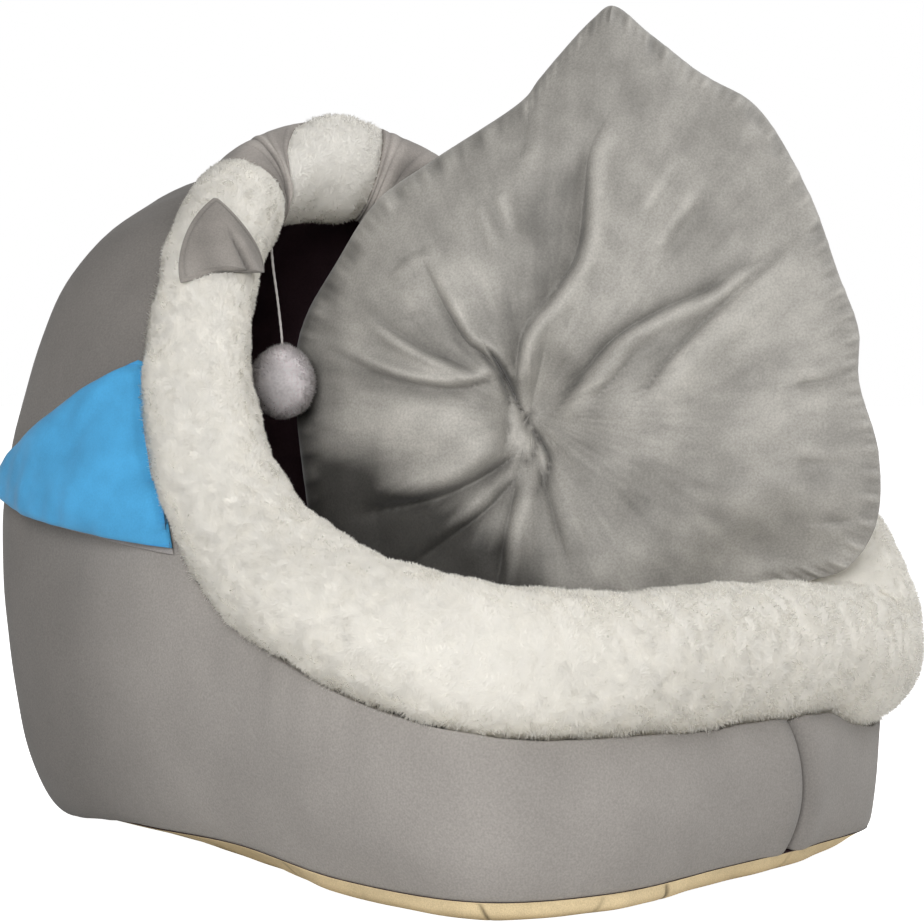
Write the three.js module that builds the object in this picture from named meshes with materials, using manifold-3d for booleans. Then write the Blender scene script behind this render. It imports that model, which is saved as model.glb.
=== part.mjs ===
// A hooded plush cat bed with its loose cushion stood up in the mouth.
// Millimetres, +Z up. The origin is the centre of the flat underside, and the mouth faces -Y.
import * as THREE from "three";
import { mergeVertices } from "three/addons/utils/BufferGeometryUtils.js";
import Module from "manifold-3d";

const wasm = await Module();
wasm.setup();

// Driving dimensions
const GAP = 0.35; // between pieces that touch
const SEAM_GAP = 1.1; // along the roll, between its lengths
const WALL = 13; // foam-backed cloth of the wall and hood
const ROLL_CLEAR = 1.9; // between the wall and the roll's rounded surface
const SOLE_HEIGHT = 10; // gathered bottom pad
const SOLE_PROUD = 1.2; // how far the pad bulges past the foot of the wall
const SOLE_TUCK = 8; // how far its underside is drawn in from there
const SOLE_RECESS = 22; // at the back its underside is drawn in further still
const SOLE_BACK = { from: -30, to: 60 }; // the stretch along y over which that comes in
const SOLE_GATHERS = 34; // gathers round the pad
const SOLE_GATHER_DEPTH = 1.2;
const SOLE_SWELL = { count: 6, depth: 0.8 }; // slow waves round the pad

// Places of the seams at the top of the arch, from its top to the right. The left seams draw
// together at the roll's lower front, where the left stripe is pinched.
const BAND_LEFT = { pinched: -83, open: -8 };
const BAND_RIGHT = 15;
const PLUSH_LEFT = -88;
const PLUSH_RIGHT = { pinched: 34, open: 64 };
const PINCH_TURN = 2.88; // how far round the roll the pinch is, from its outer side
const STRIPE_SLACK = 0.1; // a stripe's cloth lies lower than the plush
const PLUSH_LUMP = 0.018; // unevenness of the stuffing, as a share of the radius
// Waves of that unevenness: mm along the roll for each radian, radians for each radian of turn
const LUMP_WAVES = [
  { reach: 23, turns: 2, share: 1 },
  { reach: 37, turns: -1, share: 0.8 },
  { reach: 13, turns: 3, share: 0.5 },
];
const SEAM_DIP = 0.12; // how far the roll is drawn in at a seam
const SEAM_REACH = 12; // and how far that reaches along it

// The ear's place is along the roll from the top of the arch, its turn round the roll from its
// outer side to its front. Its root is sewn on a slant, with a wave in it.
const EAR = {
  place: 173.5,
  turn: 1.82,
  width: 46,
  height: 33,
  thick: 3.6,
  tipWidth: 3,
  tipThick: 2.4,
  lift: 6,
  clear: 1.1,
  lean: 0.6,
  slant: 0.6,
  wave: 2,
  waveReach: 9,
};
// A stuffed side flap lies on the hood's side. Its root runs up the roll from foot to top, and they
// and its tip are given by y and z; start is the loop place that the search for them begins at.
// thin is its thickness at the root and the tip, as a share of that in the middle.
const FLAP = { thick: 19, thin: 0.25, clear: 0.9, lift: 7 };
const FLAP_LEFT = { start: 0.32, foot: [25.5, 183], top: [68.5, 280], tip: [169, 215.5] };
const FLAP_RIGHT = { start: 0.68, foot: [20, 183], top: [57, 276], tip: [169, 215.5] };

const CORD_DIAMETER = 1.6; // elastic string
// The pompom is bare of locks where its string comes in, above a share of its height.
const POMPOM = { radius: 19.5, lockLength: 2.4, lockWidth: 9, locks: 110, bareAbove: 0.93, stretch: 1.12 };

// Steps of the surfaces
const LOOP_STEPS = 94; // round the wall
const WALL_STEPS = 12; // from its foot to its edge
const ROLL_SIDES = 16;
const ROLL_STEP = 15; // along the plush roll
const ROLL_LOOKS = 6; // places of the roll looked at each way from a point of the wall
const ROLL_LOOK_STEP = 0.005; // share of the loop between them

// Half of the wall, from the front round the left side to the back. foot is on the pad, belly and
// shoulder pull the surface, edge is the roll's centre line and roll its radius. The cushion has
// pushed the wall and the edge on the right side, each as far as its row says.
const SECTIONS = [
  { name: "front", foot: [0, -217], belly: [0, -230, 40], shoulder: [0, -229, 68] },
  { name: "quarter", foot: [-84, -212], belly: [-90, -226, 40], shoulder: [-90, -224, 70] },
  { name: "corner", foot: [-148, -180], belly: [-160, -192, 42], shoulder: [-160, -190, 78] },
  { name: "side", foot: [-166, -94], belly: [-184, -96, 52], shoulder: [-186, -98, 96] },
  { name: "rise", foot: [-165, -8], belly: [-190, -6, 60], shoulder: [-190, -14, 128] },
  { name: "leg", foot: [-158, 84], belly: [-196, 96, 36], shoulder: [-199, 98, 255] },
  { name: "temple", foot: [-135, 164], belly: [-184, 211, -30], shoulder: [-199.5, 228.5, 368] },
  { name: "brow", foot: [-76, 206], belly: [-110, 284, -20], shoulder: [-114, 270, 402] },
  { name: "back", foot: [0, 212], belly: [0, 292, -16], shoulder: [0, 280, 406] },
];
const EDGES = [
  { name: "front", edge: [0, -197, 124], roll: 39, wallPushed: [0, 0, 0], edgePushed: [0, 0, 0] },
  { name: "quarter", edge: [-84, -192, 127], roll: 39, wallPushed: [2, -3, 0], edgePushed: [3, -3, -6] },
  {
    name: "corner",
    edge: [-146, -170, 136],
    roll: 38,
    footPushed: [16, -13],
    wallPushed: [8, -6, -10],
    edgePushed: [18, -12, -20],
    rollPushed: 4.5,
  },
  {
    name: "side",
    edge: [-168, -100, 154],
    roll: 37,
    footPushed: [6, -20],
    wallPushed: [6, -24, 15],
    edgePushed: [25, -30, 23],
    rollPushed: 3,
  },
  { name: "rise", edge: [-168, -21, 188], roll: 36, wallPushed: [2, -5, 8], edgePushed: [7, -10, 16] },
  { name: "leg", edge: [-159.5, 30, 262], roll: 31, wallPushed: [0, 0, 0], edgePushed: [0, -18, -5] },
  { name: "temple", edge: [-117, 63, 353], roll: 28.5, wallPushed: [0, 0, -10], edgePushed: [-2, -32, -14] },
  { name: "brow", edge: [-57, 91, 393], roll: 31, wallPushed: [0, 0, -12], edgePushed: [-4, -38, -13] },
  { name: "back", edge: [0, 84, 403], roll: 34, wallPushed: [0, 0, 0], edgePushed: [0, 0, 0] },
];
const FRONT_SEAM = 0.9595; // where the wall's cloth closes, on the far side of the front

// The cushion stands on edge, facing the camera's side. Places on it are mm across (to the right
// as it is seen from its front), up, and back.
const CUSHION_TUCK = { across: 53, up: 253 };
const CUSHION_HALF = 43; // half its thickness where it is fullest
const CUSHION_LEAN = { back: -32, perUp: 0.1 };
const CUSHION_EDGE = 3; // thickness that it keeps up to its edge seam
const CUSHION_DRAWN = { share: 0.72, reach: 0.16 }; // how far the tuck draws its faces in
const CUSHION_SQUEEZE = 0.75; // how much thinner it is where the roll grips its lower right
const CUSHION_GRIP = { across: [120, 200], up: [165, 215] }; // where that grip fades in and out
const CUSHION_CURL = { from: 50, back: 0.0018 }; // its left side curves back into the hood
const CUSHION_OUT = { from: 150, front: 0.003 }; // and its right side forward, over the roll
const CUSHION_OUTLINE = [
  { name: "tip", across: 102.5, up: 497 },
  { name: "top edge", across: 126, up: 479.5 },
  { name: "top edge end", across: 156, up: 456 },
  { name: "top corner", across: 187.5, up: 436.5 },
  { name: "fold above", across: 217, up: 385 },
  { name: "fold below", across: 234, up: 334 },
  { name: "far side", across: 244, up: 302.5 },
  { name: "far hollow", across: 244, up: 273 },
  { name: "far bulge", across: 254, up: 231 },
  { name: "on the roll", across: 252, up: 189 },
  { name: "past the roll", across: 236, up: 163.5 },
  { name: "above the roll", across: 208, up: 152 },
  { name: "inside the roll", across: 187, up: 131 },
  { name: "far foot", across: 182, up: 75 },
  { name: "foot right", across: 150, up: 26 },
  { name: "foot", across: 70, up: 10.4 },
  { name: "foot left", across: 0, up: 25 },
  { name: "near foot", across: -58, up: 70 },
  { name: "near side", across: -80, up: 190 },
  { name: "near bulge", across: -87, up: 296 },
  { name: "under the arch", across: -62, up: 346 },
  { name: "beside the arch", across: -38, up: 381 },
  { name: "past the arch", across: -7, up: 403 },
  { name: "top side", across: 50, up: 441 },
  { name: "notch", across: 59, up: 453 },
  { name: "tip side", across: 88, up: 489 },
];
// Main creases of its faces, each a trough from one place to another
const CREASES = [
  { name: "pocket", from: [36, 282], to: [62, 232], depth: 8, width: 8 },
  { name: "rising left", from: [44, 268], to: [-10, 330], depth: 6, width: 10 },
  { name: "level left", from: [36, 277], to: [-75, 301], depth: 5, width: 9 },
  { name: "falling left", from: [40, 230], to: [-50, 203], depth: 6, width: 10 },
  { name: "down", from: [52, 236], to: [44, 176], depth: 5, width: 9 },
  { name: "down right", from: [64, 234], to: [88, 180], depth: 5, width: 9 },
  { name: "towards the tip", from: [46, 270], to: [85, 342], depth: 7, width: 9 },
  { name: "below the notch", from: [84, 334], to: [101, 426], depth: 6, width: 9 },
  { name: "towards the far side", from: [74, 262], to: [170, 330], depth: 8, width: 9 },
  { name: "up the far side", from: [158, 322], to: [218, 364], depth: 8, width: 9 },
];

// Vectors and solids
const vec = (x, y, z) => new THREE.Vector3(x, y, z);
const mix = THREE.MathUtils.lerp;
const smoothstep = THREE.MathUtils.smoothstep;

function outward(geometry) {
  const p = geometry.attributes.position;
  const index = geometry.index.array;
  const [a, b, c] = [vec(), vec(), vec()];
  let volume = 0;
  for (let i = 0; i < index.length; i += 3) {
    a.fromBufferAttribute(p, index[i]);
    b.fromBufferAttribute(p, index[i + 1]);
    c.fromBufferAttribute(p, index[i + 2]);
    volume += a.dot(b.cross(c));
  }
  if (volume < 0) index.reverse();
  return geometry;
}

function fromPoints(points, index) {
  const geometry = new THREE.BufferGeometry().setFromPoints(points);
  geometry.setIndex(index);
  return outward(geometry);
}

// A solid through closed rings of points, shut at each end by a fan to a centre point.
function ringSolid(rings, first, last) {
  const n = rings[0].length;
  const points = [first, ...rings.flat(), last];
  const index = [];
  const at = (row, j) => 1 + row * n + (j % n);
  for (let j = 0; j < n; j++) {
    index.push(0, at(0, j), at(0, j + 1));
    index.push(points.length - 1, at(rings.length - 1, j + 1), at(rings.length - 1, j));
    for (let row = 0; row + 1 < rings.length; row++) {
      index.push(at(row, j), at(row + 1, j), at(row, j + 1));
      index.push(at(row, j + 1), at(row + 1, j), at(row + 1, j + 1));
    }
  }
  return fromPoints(points, index);
}

// A solid through flattened rings whose points j and n - j face each other, shut by strips between them.
function layeredSolid(rings) {
  const n = rings[0].length;
  const index = [];
  const at = (row, j) => row * n + (j % n);
  const quad = (a, b, c, d) => {
    if (a !== d) index.push(a, c, d);
    if (b !== c) index.push(a, b, c);
  };
  for (let row = 0; row + 1 < rings.length; row++)
    for (let j = 0; j < n; j++) quad(at(row, j), at(row + 1, j), at(row + 1, j + 1), at(row, j + 1));
  const last = rings.length - 1;
  for (let j = 0; j < n / 2; j++) {
    quad(at(0, j), at(0, j + 1), at(0, n - j - 1), at(0, n - j));
    quad(at(last, j + 1), at(last, j), at(last, n - j), at(last, n - j - 1));
  }
  return fromPoints(rings.flat(), index);
}

// A solid between two open grids of points, front[row][column] and back[row][column], shut round its rim.
function sheetSolid(front, back) {
  const rows = front.length;
  const columns = front[0].length;
  const points = [...front.flat(), ...back.flat()];
  const behind = rows * columns;
  const at = (row, column) => row * columns + column;
  const index = [];
  const quad = (a, b, c, d) => index.push(a, b, c, a, c, d);
  for (let i = 0; i + 1 < rows; i++)
    for (let j = 0; j + 1 < columns; j++) {
      quad(at(i, j), at(i, j + 1), at(i + 1, j + 1), at(i + 1, j));
      quad(behind + at(i, j), behind + at(i + 1, j), behind + at(i + 1, j + 1), behind + at(i, j + 1));
    }
  const rim = [];
  for (let j = 0; j < columns; j++) rim.push(at(0, j));
  for (let i = 1; i < rows; i++) rim.push(at(i, columns - 1));
  for (let j = columns - 2; j >= 0; j--) rim.push(at(rows - 1, j));
  for (let i = rows - 2; i > 0; i--) rim.push(at(i, 0));
  rim.forEach((a, k) => {
    const b = rim[(k + 1) % rim.length];
    quad(b, a, behind + a, behind + b);
  });
  return fromPoints(points, index);
}

function solidOf(geometry) {
  const bare = new THREE.BufferGeometry().setAttribute("position", geometry.getAttribute("position"));
  if (geometry.index) bare.setIndex(geometry.index);
  const merged = mergeVertices(bare, 1e-3);
  return new wasm.Manifold(
    new wasm.Mesh({
      numProp: 3,
      vertProperties: merged.attributes.position.array,
      triVerts: new Uint32Array(merged.index.array),
    }),
  );
}

function geometryOf(solid) {
  const mesh = solid.getMesh();
  return new THREE.BufferGeometry()
    .setAttribute("position", new THREE.BufferAttribute(mesh.vertProperties, 3))
    .setIndex(new THREE.BufferAttribute(mesh.triVerts, 1));
}

// The wall and hood: cubic curves from the foot over belly and shoulder to the roll
const half = SECTIONS.map((section, i) => ({ ...section, ...EDGES[i] }));
const pushedOut = ([x, y, z = 0], pushed) => [pushed[0] - x, y + pushed[1], z + pushed[2]];
const mirrored = half
  .slice(1, -1)
  .reverse()
  .map((s) => ({
    ...s,
    roll: s.roll + (s.rollPushed ?? 0),
    foot: pushedOut(s.foot, s.footPushed ?? s.wallPushed),
    belly: pushedOut(s.belly, s.wallPushed),
    shoulder: pushedOut(s.shoulder, s.wallPushed),
    edge: pushedOut(s.edge, s.edgePushed),
  }));
const loop = [...half, ...mirrored];
const closedCurve = (points) => new THREE.CatmullRomCurve3(points, true, "centripetal");
const footCurve = closedCurve(loop.map((s) => vec(s.foot[0], s.foot[1], SOLE_HEIGHT + GAP)));
const bellyCurve = closedCurve(loop.map((s) => vec(...s.belly)));
const shoulderCurve = closedCurve(loop.map((s) => vec(...s.shoulder)));
const rollCurve = closedCurve(loop.map((s) => vec(s.roll, 0, 0)));
const edgeCurve = closedCurve(loop.map((s) => vec(...s.edge)));
edgeCurve.arcLengthDivisions = 800;
const edgeLengths = edgeCurve.getLengths();
const rollLength = edgeCurve.getLength();
const leftLength = edgeLengths[(edgeLengths.length - 1) / 2];
const mouthMiddle = vec(0, -60, 235);
const wrap = (t) => ((t % 1) + 1) % 1;

// Places along the roll are millimetres from the top of the arch, positive towards the right.
function placeOf(t) {
  const step = wrap(t) * (edgeLengths.length - 1);
  const low = Math.floor(step);
  return mix(edgeLengths[low], edgeLengths[low + 1], step - low) - leftLength;
}

function rollFrame(t) {
  const centre = edgeCurve.getPoint(wrap(t));
  const along = edgeCurve.getTangent(wrap(t));
  const out = centre.clone().sub(mouthMiddle);
  out.addScaledVector(along, -out.dot(along)).normalize();
  const side = along.clone().cross(out);
  return { centre, along, out, side };
}

// The roll's radius at a place and a turn: turn 0 faces away from the mouth, half a turn into it.
function rollRadius(t, turn) {
  const place = placeOf(t);
  const waves = LUMP_WAVES.reduce(
    (sum, { reach, turns, share }) => sum + share * Math.sin(place / reach + turns * turn),
    0,
  );
  return rollCurve.getPoint(wrap(t)).x * (1 + PLUSH_LUMP * waves);
}

function rollPoint(t, turn, scale, proud = 0) {
  const { centre, out, side } = rollFrame(t);
  const r = rollRadius(t, turn) * scale + proud;
  return centre.addScaledVector(out, r * Math.cos(turn)).addScaledVector(side, r * Math.sin(turn));
}

const loopAt = (place) => edgeCurve.getUtoTmapping(wrap((leftLength + place) / rollLength), null);

// The curve up the wall at loop place t ends at the roll's surface, square to the roll.
function wallCurve(t) {
  const w = wrap(t);
  const { centre, along, out, side } = rollFrame(w);
  const shoulder = shoulderCurve.getPoint(w);
  const away = shoulder.clone().sub(centre);
  away.addScaledVector(along, -away.dot(along)).normalize();
  const turn = Math.atan2(away.dot(side), away.dot(out));
  const end = centre.addScaledVector(away, rollRadius(w, turn) + ROLL_CLEAR);
  return new THREE.CubicBezierCurve3(footCurve.getPoint(w), bellyCurve.getPoint(w), shoulder, end);
}

function wallPoint(t, v) {
  return wallCurve(t).getPoint(v);
}

function wallNormal(t, v) {
  const step = 0.002;
  const low = Math.max(0, v - step);
  const high = Math.min(1, v + step);
  const across = wallPoint(t + step, v).sub(wallPoint(t - step, v));
  const up = wallPoint(t, high).sub(wallPoint(t, low));
  return up.cross(across).normalize();
}

// Moves a point of the wall away from the place of the roll that it is deepest in, until it clears
// the roll. The places looked at run from a little before loop place t to a little after it.
function clearOfRoll(t, point) {
  let deepest = { short: 0, away: vec(0, 0, 0) };
  for (let k = -ROLL_LOOKS; k <= ROLL_LOOKS; k++) {
    const w = t + k * ROLL_LOOK_STEP;
    const { centre, out, side } = rollFrame(w);
    const away = point.clone().sub(centre);
    const turn = Math.atan2(away.dot(side), away.dot(out));
    const short = rollRadius(w, turn) + ROLL_CLEAR - away.length();
    if (short > deepest.short) deepest = { short, away: away.normalize() };
  }
  return point.addScaledVector(deepest.away, deepest.short);
}

function wallPanel(from, to) {
  const columns = Math.round((to - from) * LOOP_STEPS);
  const margin = 0.00027; // share of the loop between a panel's edge and its seam
  const outer = [];
  const inner = [];
  for (let i = 0; i <= WALL_STEPS; i++) {
    const v = i / WALL_STEPS;
    outer.push([]);
    inner.push([]);
    for (let j = 0; j <= columns; j++) {
      const t = mix(from + margin, to - margin, j / columns);
      const point = wallPoint(t, v);
      const behind = point.clone().addScaledVector(wallNormal(t, v), -WALL);
      outer[i].push(clearOfRoll(t, point));
      inner[i].push(clearOfRoll(t, behind));
    }
  }
  return sheetSolid(outer, inner);
}

// The bottom pad: a stack of rings round the foot, gathered at its side
function sole() {
  const levels = [
    { z: 0, out: -SOLE_TUCK, recess: 1, gather: 0 },
    { z: 0.3, out: SOLE_PROUD * 0.5, recess: 0.9, gather: 1 },
    { z: 0.65, out: SOLE_PROUD, recess: 0.5, gather: 1 },
    { z: 1, out: -1, recess: 0, gather: 0.2 },
  ];
  const steps = SOLE_GATHERS * 4;
  const rings = levels.map(({ z, out, recess, gather }) => {
    const ring = [];
    for (let j = 0; j < steps; j++) {
      const w = j / steps;
      const point = footCurve.getPoint(w);
      const along = footCurve.getTangent(w);
      const side = vec(along.y, -along.x, 0).normalize();
      if (side.dot(point) < 0) side.negate();
      const wave = SOLE_GATHER_DEPTH * Math.cos(j * (Math.PI / 2)) * gather;
      const uneven = Math.sin(w * SOLE_SWELL.count * 2 * Math.PI) * SOLE_SWELL.depth * gather;
      const inset = recess * SOLE_RECESS * smoothstep(point.y, SOLE_BACK.from, SOLE_BACK.to);
      const place = vec(point.x, point.y, z * SOLE_HEIGHT);
      ring.push(place.addScaledVector(side, out - inset + wave + uneven));
    }
    return ring;
  });
  return ringSolid(rings, vec(0, 0, 0), vec(0, 0, SOLE_HEIGHT));
}

// A length of roll between two seams, each a function of the turn.
function rollPiece(start, end, slack) {
  const steps = Math.max(6, Math.round((end(0) - start(0)) / ROLL_STEP));
  const rings = [];
  for (let i = 0; i <= steps; i++) {
    const ring = [];
    for (let j = 0; j < ROLL_SIDES; j++) {
      const turn = (j / ROLL_SIDES) * 2 * Math.PI;
      const from = start(turn) + SEAM_GAP / 2;
      const to = end(turn) - SEAM_GAP / 2;
      const place = mix(from, to, i / steps);
      const nearest = Math.min(place - from, to - place);
      const atSeam = Math.exp(-((nearest / SEAM_REACH) ** 2));
      ring.push(rollPoint(loopAt(place), turn, 1 - mix(slack, SEAM_DIP, atSeam)));
    }
    rings.push(ring);
  }
  const middle = (ring) => ring.reduce((sum, p) => sum.add(p), vec(0, 0, 0)).divideScalar(ring.length);
  return ringSolid(rings, middle(rings[0]), middle(rings.at(-1)));
}

const openShare = (turn) => (1 - Math.cos(turn - PINCH_TURN)) / 2;
const bandLeft = (turn) => mix(BAND_LEFT.pinched, BAND_LEFT.open, openShare(turn));
const bandRight = () => BAND_RIGHT;
const plushLeft = () => PLUSH_LEFT;
const plushRight = (turn) => mix(PLUSH_RIGHT.pinched, PLUSH_RIGHT.open, openShare(turn));

// A flat stuffed or layered tongue: rings of a flattened oval from its sewn root to its tip.
// place(share, across, off) gives the point at a share of its length.
function tongue(rows, sides, halfWidth, halfThick, place) {
  const rings = [];
  for (let i = 0; i <= rows; i++) {
    const share = i / rows;
    const ring = [];
    for (let j = 0; j < sides; j++) {
      const turn = (j / sides) * 2 * Math.PI;
      const across = halfWidth(share) * Math.cos(turn);
      ring.push(place(share, across, halfThick(share) * (1 + Math.sin(turn))));
    }
    rings.push(ring);
  }
  return layeredSolid(rings);
}

// The ear: a leaf of doubled cloth sewn across the roll, its point up along the roll
function ear(sign) {
  const leaf = (share) => (1 - share ** 1.5) * (1 + 0.35 * share);
  const halfWidth = (share) => (EAR.width * leaf(share) + EAR.tipWidth) / 2;
  const halfThick = (share) => mix(EAR.thick, EAR.tipThick, share) / 2;
  const radius = rollCurve.getPoint(loopAt(-EAR.place)).x;
  return tongue(8, 14, halfWidth, halfThick, (share, across, off) => {
    const slant = (EAR.slant * across - EAR.wave * Math.sin(across / EAR.waveReach)) * (1 - share);
    const turn = EAR.turn + across / radius - EAR.lean * share;
    const lift = EAR.lift * share ** 2;
    const place = EAR.height * share + slant - EAR.place;
    return rollPoint(loopAt(sign * -place), turn, 1, EAR.clear + lift + off);
  });
}

// The wall's place at a y and z, by a few Newton steps from a loop place near it
function onWall(start, y, z) {
  let [t, v] = [start, 0.7];
  const step = 0.001;
  for (let round = 0; round < 8; round++) {
    const here = wallPoint(t, v);
    const byT = wallPoint(t + step, v).sub(here).divideScalar(step);
    const byV = wallPoint(t, v + step).sub(here).divideScalar(step);
    const scale = byT.y * byV.z - byT.z * byV.y;
    const [dy, dz] = [y - here.y, z - here.z];
    t += (dy * byV.z - dz * byV.y) / scale;
    v += (dz * byT.y - dy * byT.z) / scale;
  }
  return { t, v };
}

// The side flap: a plump leaf that lies on the hood, its root tucked against the roll
function flap({ start, foot, top, tip }) {
  const rootMiddle = foot.map((low, k) => (low + top[k]) / 2);
  const rootHalf = foot.map((low, k) => (top[k] - low) / 2);
  const halfWidth = (share) => (1 - 0.8 * share) * Math.sqrt(1 - share ** 8) + 0.03;
  const plump = (share) => Math.sin(Math.PI * Math.min(1, 0.1 + share * 0.85));
  const halfThick = (share) => (FLAP.thick / 2) * mix(FLAP.thin, 1, plump(share));
  return tongue(12, 16, halfWidth, halfThick, (share, across, off) => {
    const y = mix(rootMiddle[0], tip[0], share) + across * rootHalf[0] * (1 - share);
    const z = mix(rootMiddle[1], tip[1], share) + across * rootHalf[1];
    const { t, v } = onWall(start, y, z);
    const proud = FLAP.clear + FLAP.lift * share ** 2 + off;
    return wallPoint(t, v).addScaledVector(wallNormal(t, v), proud);
  });
}

// The cushion: two crowned faces that meet at its edge seam, drawn together at the tuck
const acrossWay = vec(1, -1, 0).normalize();
const backWay = vec(1, 1, 0).normalize();

function cushionPoint(across, up, off) {
  const curl = CUSHION_CURL.back * Math.max(0, CUSHION_CURL.from - across) ** 2;
  const hung = CUSHION_OUT.front * Math.max(0, across - CUSHION_OUT.from) ** 2;
  const back = CUSHION_LEAN.back + CUSHION_LEAN.perUp * up + curl - hung - off;
  return vec(0, 0, up).addScaledVector(acrossWay, across).addScaledVector(backWay, back);
}

function creaseDepth(across, up) {
  return CREASES.reduce((sum, { from, to, depth, width }) => {
    const way = [to[0] - from[0], to[1] - from[1]];
    const length = Math.hypot(...way);
    const here = [across - from[0], up - from[1]];
    const along = (here[0] * way[0] + here[1] * way[1]) / length ** 2;
    const beside = (here[0] * way[1] - here[1] * way[0]) / length;
    const fade = Math.max(0, 1 - (2 * along - 1) ** 4);
    return sum + depth * fade * Math.exp(-((beside / width) ** 2));
  }, 0);
}

function cushion() {
  const rings = 11;
  const columns = CUSHION_OUTLINE.length * 3;
  const outline = closedCurve(CUSHION_OUTLINE.map((p) => vec(p.across, p.up, 0)));
  const rim = outline.getPoints(columns).slice(0, columns);
  const drawn = (share) => CUSHION_DRAWN.share * Math.exp(-((share / CUSHION_DRAWN.reach) ** 2));
  const full = (share) => Math.sqrt(1 - share ** 2.4) * (1 - drawn(share));
  const face = (side) => {
    const rows = [];
    for (let i = 1; i < rings; i++) {
      const share = (i / rings) ** 0.85;
      rows.push(
        rim.map((p) => {
          const across = mix(CUSHION_TUCK.across, p.x, share);
          const up = mix(CUSHION_TUCK.up, p.y, share);
          const farEnough = smoothstep(across, ...CUSHION_GRIP.across);
          const gripped = farEnough * (1 - smoothstep(up, ...CUSHION_GRIP.up));
          const thick = CUSHION_HALF * full(share) * (1 - CUSHION_SQUEEZE * gripped);
          const crease = creaseDepth(across, up) * Math.min(1, 2 * (1 - share));
          return cushionPoint(across, up, side * Math.max(CUSHION_EDGE / 2, thick - crease));
        }),
      );
    }
    return rows;
  };
  const middle = (side) =>
    cushionPoint(CUSHION_TUCK.across, CUSHION_TUCK.up, side * CUSHION_HALF * full(0));
  const seam = rim.map((p) => cushionPoint(p.x, p.y, 0));
  return ringSolid([...face(1), seam, ...face(-1).reverse()], middle(1), middle(-1));
}

// The pompom hangs on a string from the roll: a ball with its locks fused on
const STRING_ROUTE = [
  [-79, 62, 350.6],
  [-78.2, 61.3, 339],
  [-77, 60, 326],
  [-76, 59, 315],
  [-75, 58, 302],
  [-74.5, 57.5, 292.5],
];
const pompomCore = POMPOM.radius - POMPOM.lockLength / 2;
const pompomMiddle = vec(-74.5, 57.5, STRING_ROUTE.at(-1)[2] - GAP - pompomCore * POMPOM.stretch);

function pompomString() {
  const section = new THREE.Shape();
  const sides = 8;
  for (let j = 0; j < sides; j++) {
    const turn = (j / sides) * 2 * Math.PI;
    const [x, y] = [Math.cos(turn) * (CORD_DIAMETER / 2), Math.sin(turn) * (CORD_DIAMETER / 2)];
    if (j === 0) section.moveTo(x, y);
    else section.lineTo(x, y);
  }
  section.closePath();
  const route = new THREE.CatmullRomCurve3(STRING_ROUTE.map((p) => vec(...p)));
  return new THREE.ExtrudeGeometry(section, { steps: 20, bevelEnabled: false, extrudePath: route });
}

function pompom() {
  const ball = new THREE.IcosahedronGeometry(pompomCore, 3);
  ball.deleteAttribute("normal");
  ball.deleteAttribute("uv");
  const golden = Math.PI * (3 - Math.sqrt(5));
  const locks = [];
  for (let k = 0; k < POMPOM.locks; k++) {
    const z = 1 - (2 * k + 1) / POMPOM.locks;
    const turn = k * golden;
    const way = vec(Math.cos(turn) * Math.sqrt(1 - z * z), Math.sin(turn) * Math.sqrt(1 - z * z), z);
    if (z > POMPOM.bareAbove) continue;
    const lock = new THREE.ConeGeometry(POMPOM.lockWidth / 2, POMPOM.lockLength * 1.6, 4);
    lock.deleteAttribute("normal");
    lock.deleteAttribute("uv");
    lock.applyQuaternion(new THREE.Quaternion().setFromUnitVectors(vec(0, 1, 0), way));
    const out = POMPOM.radius - POMPOM.lockLength * (0.3 + 0.25 * Math.sin(k * 2.4));
    lock.translate(...way.multiplyScalar(out).toArray());
    locks.push(solidOf(lock));
  }
  const fused = wasm.Manifold.union([solidOf(ball), ...locks]);
  return geometryOf(fused).scale(1, 1, POMPOM.stretch).translate(...pompomMiddle.toArray());
}

// Materials
const cloth = (color) => new THREE.MeshStandardMaterial({ color, roughness: 0.9, metalness: 0 });
const greyVelour = cloth(0x8f8c87);
const whitePlush = cloth(0xe6e2d8);
const tanCloth = cloth(0xcbb795);
const blueCloth = cloth(0x4a9fd2);
const cushionVelvet = cloth(0xa29f99);
const pompomPlush = cloth(0xbdb9b6);
const stringWhite = cloth(0xd8d4cc);

const bed = new THREE.Group();

function add(name, geometry, material) {
  const mesh = new THREE.Mesh(geometry, material);
  mesh.name = name;
  bed.add(mesh);
}

add("wall_left", wallPanel(FRONT_SEAM - 1, 0.5), greyVelour);
add("wall_right", wallPanel(0.5, FRONT_SEAM), greyVelour);
add("sole_pad", sole(), tanCloth);
add("rim_plush", rollPiece(plushRight, () => rollLength + PLUSH_LEFT, 0), whitePlush);
add("rim_band", rollPiece(bandLeft, bandRight, 0), whitePlush);
add("rim_stripe_right", rollPiece(bandRight, plushRight, STRIPE_SLACK), greyVelour);
add("rim_stripe_left", rollPiece(plushLeft, bandLeft, STRIPE_SLACK), greyVelour);
add("ear_left", ear(-1), greyVelour);
add("ear_right", ear(1), greyVelour);
add("flap_left", flap(FLAP_LEFT), blueCloth);
add("flap_right", flap(FLAP_RIGHT), blueCloth);
add("cushion", cushion(), cushionVelvet);
add("pompom_string", pompomString(), stringWhite);
add("pompom", pompom(), pompomPlush);

export default bed;
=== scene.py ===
# %% [markdown]
# A hooded plush cat bed with its loose cushion stood up in the mouth, dressed in Blender.
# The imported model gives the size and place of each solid. This script makes the soft surfaces
# that stand for them: velour walls, a rolled rim of plush, a velvet cushion, flaps, ears and a pompom.
# Each surface is worked out with numpy as a function of two parameters, in millimetres.

# %% Load the frame
import math

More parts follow.
